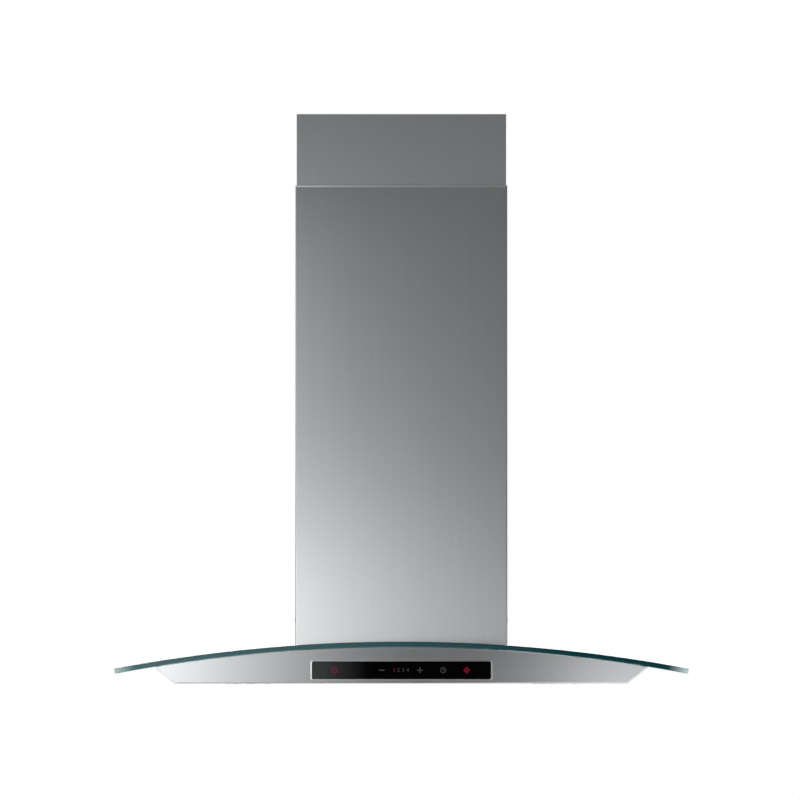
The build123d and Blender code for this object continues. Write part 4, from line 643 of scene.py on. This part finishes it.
# The rim's steel is painted near white as a painted highlight, so its short ends look bright, and
# its two long sides are painted darker as painted shade.
rim_steel = brushed_metal(
    "stainless_rim_painted_light",
    (STREAK_RUN, STREAK, STREAK),
    ALONG_X,
    0.2,
    "#fbfcfc",
    "#f1f2f2",
    0.26,
    0.30,
)
tree = rim_steel.node_tree
shader = tree.nodes["Principled BSDF"]
painted_bright_steel = shader.inputs["Base Color"].links[0].from_socket
place = add_node(tree, "TexCoord").outputs["Object"]
height = add_node(tree, "SeparateXYZ", {"Vector": place}).outputs["Z"]
offset = add_node(tree, "Math", {0: height, 1: PANEL_LEVEL}, operation="SUBTRACT").outputs[0]
reach = add_node(tree, "Math", {0: offset}, operation="ABSOLUTE").outputs[0]
shaded_long_side = add_node(
    tree, "Math", {0: reach, 1: RIM_LONG_SIDE}, operation="GREATER_THAN"
).outputs[0]
painted_shade_rim = add_node(
    tree, "Mix", {0: shaded_long_side, 6: painted_bright_steel, 7: linear("#bcbebf")}, data_type="RGBA"
).outputs[2]
fill(tree, shader, {"Base Color": painted_shade_rim})
dress(rim_steel, "control_bezel")

# The glass is glossy black, with a painted reflection that makes it greyer towards its left end, and
# faint smears.
black_glass, tree, shader, place = new_finish("float_glass_printed_black")
along = add_node(tree, "SeparateXYZ", {"Vector": place}).outputs["X"]
painted_reflection_fade = add_node(
    tree,
    "MapRange",
    {"Value": along, "From Min": PANEL_LEFT, "From Max": REFLECTION_FADE_END},
    interpolation_type="SMOOTHSTEP",
).outputs[0]
tone = add_node(
    tree, "Mix", {0: painted_reflection_fade, 6: linear("#393b3b"), 7: linear("#010102")}, data_type="RGBA"
).outputs[2]
smear = add_node(tree, "TexNoise", {"Vector": place, "Scale": 1 / CLOUD}).outputs["Fac"]
rough = add_node(tree, "MapRange", {"Value": smear, "To Min": 0.05, "To Max": 0.12}).outputs[0]
fill(tree, shader, {"Base Color": tone, "Roughness": rough, "Specular IOR Level": 0.1})
dress(black_glass, "control_glass")


# Touch symbols: printed windows in the black backing, lit from behind by small lamps on the
# touch board. The power ring, the speed in use and the light's symbol are lit red.
PRINT_FACE = -0.4734
PRINT_FILM = 0.0001
PATCH = 0.002
RING_SIDES = 48
BAR_CORNER, BAR_CORNER_STEPS = 0.3, 3
FLAT_ON_PANEL = math.pi / 2
RING, STROKE, THIN_STROKE = 0.0048, 0.0018, 0.0013
BAR = 0.0094
POWER_X, POWER_GAP = -0.1045, 0.45
POWER_BAR_RISE, POWER_BAR = 0.0034, 0.0042
MINUS_X, PLUS_X = -0.0308, 0.029
DIGIT_HEIGHT, LINE_HEIGHT = 0.006, 1.4
SPEEDS = (("one", "1", -0.0117), ("two", "2", -0.0046), ("three", "3", 0.0026), ("four", "4", 0.0100))
TIMER_X, HAND = 0.0654, 0.0011
LONG_HAND_RISE, LONG_HAND = 0.0012, 0.0034
SHORT_HAND_SHIFT, SHORT_HAND_RISE, SHORT_HAND = 0.0012, -0.0004, 0.0030
SHORT_HAND_TURN = 1.9
LIGHT_X, LIGHT_RING, LIGHT_STROKE = 0.102, 0.0035, 0.0016
RAY_COUNT, RAY_REACH, RAY_WIDTH, RAY_LENGTH = 4, 0.0043, 0.0015, 0.0019


def lit_print(name, pale, dark):
    """A printed window with a lamp behind it, a little uneven."""
    finish, tree, shader, place = new_finish(name)
    uneven = add_node(tree, "TexNoise", {"Vector": place, "Scale": 1 / PATCH}).outputs["Fac"]
    tone = add_node(
        tree, "Mix", {0: uneven, 6: linear(dark), 7: linear(pale)}, data_type="RGBA"
    ).outputs[2]
    fill(
        tree,
        shader,
        {
            "Base Color": linear("#020202"),
            "Specular IOR Level": 0.0,
            "Emission Color": tone,
            "Emission Strength": 1.0,
        },
    )
    return finish


def thicken_print():
    """Gives the flat print in edit mode its film thickness and leaves edit mode."""
    bpy.ops.mesh.select_all(action="SELECT")
    bpy.ops.mesh.extrude_region_move(TRANSFORM_OT_translate={"value": (0.0, -PRINT_FILM, 0.0)})
    bpy.ops.mesh.select_all(action="SELECT")
    bpy.ops.mesh.normals_make_consistent()
    bpy.ops.object.mode_set(mode="OBJECT")


def print_ring(x, radius, stroke, gap=0.0):
    """A ring, open at the top over an angle of twice `gap`."""
    bpy.ops.mesh.primitive_circle_add(
        vertices=RING_SIDES,
        radius=radius,
        fill_type="NGON",
        location=(x, PRINT_FACE, PANEL_LEVEL),
        rotation=(FLAT_ON_PANEL, 0.0, 0.0),
    )
    ring = bpy.context.object
    settle(ring)
    bpy.ops.object.mode_set(mode="EDIT")
    bpy.ops.mesh.select_mode(type="FACE")
    bpy.ops.mesh.select_all(action="SELECT")
    bpy.ops.mesh.inset(thickness=stroke)
    bpy.ops.mesh.delete(type="FACE")
    pick(
        ring,
        "FACE",
        lambda face: abs(math.atan2(face.center.x - x, face.center.z - PANEL_LEVEL)) < gap,
    )
    bpy.ops.mesh.delete(type="FACE")
    thicken_print()
    return ring


def print_bar(x, z, width, height, turn=0.0):
    """A bar with rounded corners, `z` above the panel's middle."""
    bpy.ops.mesh.primitive_plane_add(
        size=1.0,
        location=(x, PRINT_FACE, PANEL_LEVEL + z),
        rotation=(FLAT_ON_PANEL, turn, 0.0),
    )
    bar = bpy.context.object
    bar.scale = (width, height, 1.0)
    settle(bar)
    bpy.ops.object.mode_set(mode="EDIT")
    bpy.ops.mesh.select_mode(type="VERT")
    bpy.ops.mesh.select_all(action="SELECT")
    bpy.ops.mesh.bevel(
        offset=BAR_CORNER * min(width, height), segments=BAR_CORNER_STEPS, affect="VERTICES"
    )
    thicken_print()
    return bar


def print_digit(x, text):
    """A printed digit, whose line is taller than the digit itself."""
    bpy.ops.object.text_add(
        location=(x, PRINT_FACE, PANEL_LEVEL), rotation=(FLAT_ON_PANEL, 0.0, 0.0)
    )
    digit = bpy.context.object
    digit.data.body = text
    digit.data.size = LINE_HEIGHT * DIGIT_HEIGHT
    digit.data.align_x = "CENTER"
    digit.data.align_y = "CENTER"
    digit.data.extrude = PRINT_FILM
    bpy.ops.object.convert(target="MESH")
    settle(digit)
    return digit


def finish_print(name, finish, *strokes):
    """Joins the strokes of a symbol into one piece."""
    select_only(strokes[0])
    for stroke in strokes:
        stroke.select_set(True)
    bpy.ops.object.join()
    symbol = bpy.context.object
    symbol.name = name
    symbol.data.materials.clear()
    symbol.data.materials.append(finish)
    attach(symbol, "hood")


dim_red = lit_print("print_lit_dim_red", "#702a46", "#5a1f36")
red = lit_print("print_lit_red", "#9a1429", "#7e0d1f")
grey = lit_print("print_lit_grey", "#404142", "#343536")
power_ring = print_ring(POWER_X, RING, STROKE, POWER_GAP)
power_bar = print_bar(POWER_X, POWER_BAR_RISE, STROKE, POWER_BAR)
finish_print("power_symbol", dim_red, power_ring, power_bar)
finish_print("minus_symbol", grey, print_bar(MINUS_X, 0.0, BAR, STROKE))
for word, text, x in SPEEDS:
    finish_print(f"speed_{word}", red if text == "1" else grey, print_digit(x, text))
plus_level = print_bar(PLUS_X, 0.0, BAR, STROKE)
plus_upright = print_bar(PLUS_X, 0.0, STROKE, BAR)
finish_print("plus_symbol", grey, plus_level, plus_upright)
finish_print(
    "timer_symbol",
    grey,
    print_ring(TIMER_X, RING, THIN_STROKE),
    print_bar(TIMER_X, LONG_HAND_RISE, HAND, LONG_HAND),
    print_bar(TIMER_X + SHORT_HAND_SHIFT, SHORT_HAND_RISE, HAND, SHORT_HAND, SHORT_HAND_TURN),
)
light_rays = []
for turn in [2 * math.pi * k / RAY_COUNT for k in range(RAY_COUNT)]:
    x = LIGHT_X + RAY_REACH * math.sin(turn)
    light_rays.append(print_bar(x, RAY_REACH * math.cos(turn), RAY_WIDTH, RAY_LENGTH, turn))
finish_print("light_symbol", red, print_ring(LIGHT_X, LIGHT_RING, LIGHT_STROKE), *light_rays)


# Lamps: a light board in a die-cast housing with a frosted lens below it, snapped into the
# canopy floor from underneath with a steel bezel. They are off.
CASTING = (0.002, 0.002, 0.002)

# Die-cast aluminium is a dull, faintly mottled grey.
cast_aluminium = brushed_metal(
    "aluminium_die_cast", CASTING, ALONG_X, 0.0, "#b7babc", "#9da1a4", 0.42, 0.58
)
dress(cast_aluminium, "lamp_housing_left", "lamp_housing_right")
dress(fascia_steel, "lamp_bezel_left", "lamp_bezel_right")
dress(sheath, "lamp_leads")

# Frosted acrylic scatters light in its moulded prisms, so it looks milky.
PRISM = 0.0022
lens, tree, shader, place = new_finish("acrylic_frosted_lens")
prisms = add_node(tree, "TexVoronoi", {"Vector": place, "Scale": 1 / PRISM}).outputs["Distance"]
facets = add_node(
    tree, "Bump", {"Height": prisms, "Strength": 0.4, "Distance": PRISM / 4}
).outputs[0]
milk = add_node(
    tree, "Mix", {0: prisms, 6: linear("#f4f3ee"), 7: linear("#e2e1da")}, data_type="RGBA"
).outputs[2]
fill(
    tree,
    shader,
    {"Base Color": milk, "Roughness": 0.3, "Transmission Weight": 0.25, "Normal": facets},
)
dress(lens, "lamp_lens_left", "lamp_lens_right")

# The board is white with the yellow dots of its emitters.
EMITTER = 0.006
light_board, tree, shader, place = new_finish("circuit_board_white")
dots = add_node(tree, "TexVoronoi", {"Vector": place, "Scale": 1 / EMITTER}).outputs["Distance"]
yellow = add_node(
    tree, "Mix", {0: dots, 6: linear("#d8c04a"), 7: linear("#eceae4")}, data_type="RGBA"
).outputs[2]
fill(tree, shader, {"Base Color": yellow, "Roughness": 0.4})
dress(light_board, "lamp_board_left", "lamp_board_right")


# Grease filters: slit and stretched aluminium sheets laid across each other in a rolled channel
# frame, with a finer pack behind them. They hang on moulded pivots and have a finger pull.
FILTER_X, FILTER_Y = 0.168, -0.2205
FILTER_WIDTH, FILTER_DEPTH = 0.315, 0.316
DIAMOND_LONG, DIAMOND_SHORT = 0.0125, 0.0078
CELLS = 60
STRAND = 0.0011
LAYER_LEVELS = (-0.2076, -0.2064)
PACK_LEVEL, PACK_SHEET = -0.2052, 0.0012
HANDLE_FRONT, HANDLE_BACK, HANDLE_HALF = -0.3682, -0.3412, 0.0405
ROLLED = (0.025, 0.00417, 0.00417)
FINE = 0.0032
DIAGONAL = math.radians(45)

# Rolled aluminium is bright, with faint short streaks.
rolled_aluminium = brushed_metal(
    "aluminium_rolled_channel", ROLLED, ALONG_Y, 0.2, "#d3d5d6", "#bfc2c4", 0.28, 0.4
)
dress(rolled_aluminium, "filter_frame_left", "filter_frame_right")
dress(dark_nylon, "filter_pivots", "filter_handle_left", "filter_handle_right")

# Slit sheet has bright, slightly torn strands.
mesh_metal, tree, shader, place = new_finish("aluminium_expanded_sheet")
torn = add_node(
    tree, "TexNoise", {"Vector": place, "Scale": 1 / STRAND, "Detail": 2.0}
).outputs["Fac"]
tone = add_node(
    tree, "Mix", {0: torn, 6: linear("#b4b7b9"), 7: linear("#dcdee0")}, data_type="RGBA"
).outputs[2]
rough = add_node(tree, "MapRange", {"Value": torn, "To Min": 0.25, "To Max": 0.45}).outputs[0]
fill(tree, shader, {"Base Color": tone, "Metallic": 1.0, "Roughness": rough})

# The pack shows as pale crossing wires over gaps of painted shade, all drawn coarser than life.
pack_metal, tree, shader, place = new_finish("aluminium_fine_mesh_pack")
turned = add_node(
    tree, "Mapping", {"Vector": place, "Rotation": (0.0, 0.0, DIAGONAL)}
).outputs[0]
weave = add_node(
    tree,
    "TexBrick",
    {
        "Vector": turned,
        "Color1": linear("#17181a"),
        "Color2": linear("#232427"),
        "Mortar": linear("#a9acaf"),
        "Scale": 1 / FINE,
        "Mortar Size": 0.16,
    },
    offset=0.0,
).outputs
raised = add_node(tree, "Bump", {"Height": weave["Fac"], "Distance": FINE / 8}).outputs[0]
fill(
    tree,
    shader,
    {"Base Color": weave["Color"], "Metallic": 0.8, "Roughness": 0.42, "Normal": raised},
)


def expanded_sheet(middle, level, long_way, short_way):
    """A stretched sheet of diamonds, cut to the filter and round its finger pull."""
    bpy.ops.mesh.primitive_grid_add(x_subdivisions=CELLS, y_subdivisions=CELLS, size=1.0)
    sheet = bpy.context.object
    sheet.rotation_euler = (0.0, 0.0, DIAGONAL)
    settle(sheet)
    sheet.scale = (CELLS * long_way / math.sqrt(2), CELLS * short_way / math.sqrt(2), 1.0)
    sheet.location = (middle, FILTER_Y, level)
    settle(sheet)
    bpy.ops.object.mode_set(mode="EDIT")
    for side in (1, -1):
        cut_across((middle + side * FILTER_WIDTH / 2, 0.0, 0.0), (side, 0.0, 0.0), clear_outer=True)
    for side in (1, -1):
        cut_across((0.0, FILTER_Y + side * FILTER_DEPTH / 2, 0.0), (0.0, side, 0.0), clear_outer=True)
    pick(
        sheet,
        "FACE",
        lambda face: abs(face.center.x - middle) < HANDLE_HALF + long_way / 2
        and HANDLE_FRONT - short_way / 2 < face.center.y < HANDLE_BACK + short_way / 2,
    )
    bpy.ops.mesh.delete(type="FACE")
    bpy.ops.object.mode_set(mode="OBJECT")
    strands = sheet.modifiers.new("strands", "WIREFRAME")
    strands.thickness = STRAND
    apply_all(sheet)
    return sheet


for side, middle in (("left", -FILTER_X), ("right", FILTER_X)):
    front_sheet = expanded_sheet(middle, LAYER_LEVELS[0], DIAMOND_LONG, DIAMOND_SHORT)
    back_sheet = expanded_sheet(middle, LAYER_LEVELS[1], DIAMOND_SHORT, DIAMOND_LONG)
    select_only(front_sheet)
    back_sheet.select_set(True)
    bpy.ops.object.join()
    front_sheet.name = f"filter_expanded_mesh_{side}"
    front_sheet.data.materials.append(mesh_metal)
    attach(front_sheet, f"filter_{side}")
    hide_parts(f"filter_mesh_{side}")

    bpy.ops.mesh.primitive_plane_add(size=1.0, location=(middle, FILTER_Y, PACK_LEVEL))
    pack = bpy.context.object
    pack.name = f"filter_fine_mesh_{side}"
    pack.scale = (FILTER_WIDTH, FILTER_DEPTH, 1.0)
    settle(pack)
    bpy.ops.object.mode_set(mode="EDIT")
    for x in (middle - HANDLE_HALF, middle + HANDLE_HALF):
        cut_across((x, 0.0, 0.0), ALONG_X)
    for y in (HANDLE_FRONT, HANDLE_BACK):
        cut_across((0.0, y, 0.0), ALONG_Y)
    pick(
        pack,
        "FACE",
        lambda face: abs(face.center.x - middle) < HANDLE_HALF
        and HANDLE_FRONT < face.center.y < HANDLE_BACK,
    )
    bpy.ops.mesh.delete(type="FACE")
    bpy.ops.object.mode_set(mode="OBJECT")
    depth = pack.modifiers.new("pack", "SOLIDIFY")
    depth.thickness = PACK_SHEET
    depth.offset = 1.0
    apply_all(pack)
    pack.data.materials.append(pack_metal)
    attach(pack, f"filter_{side}")
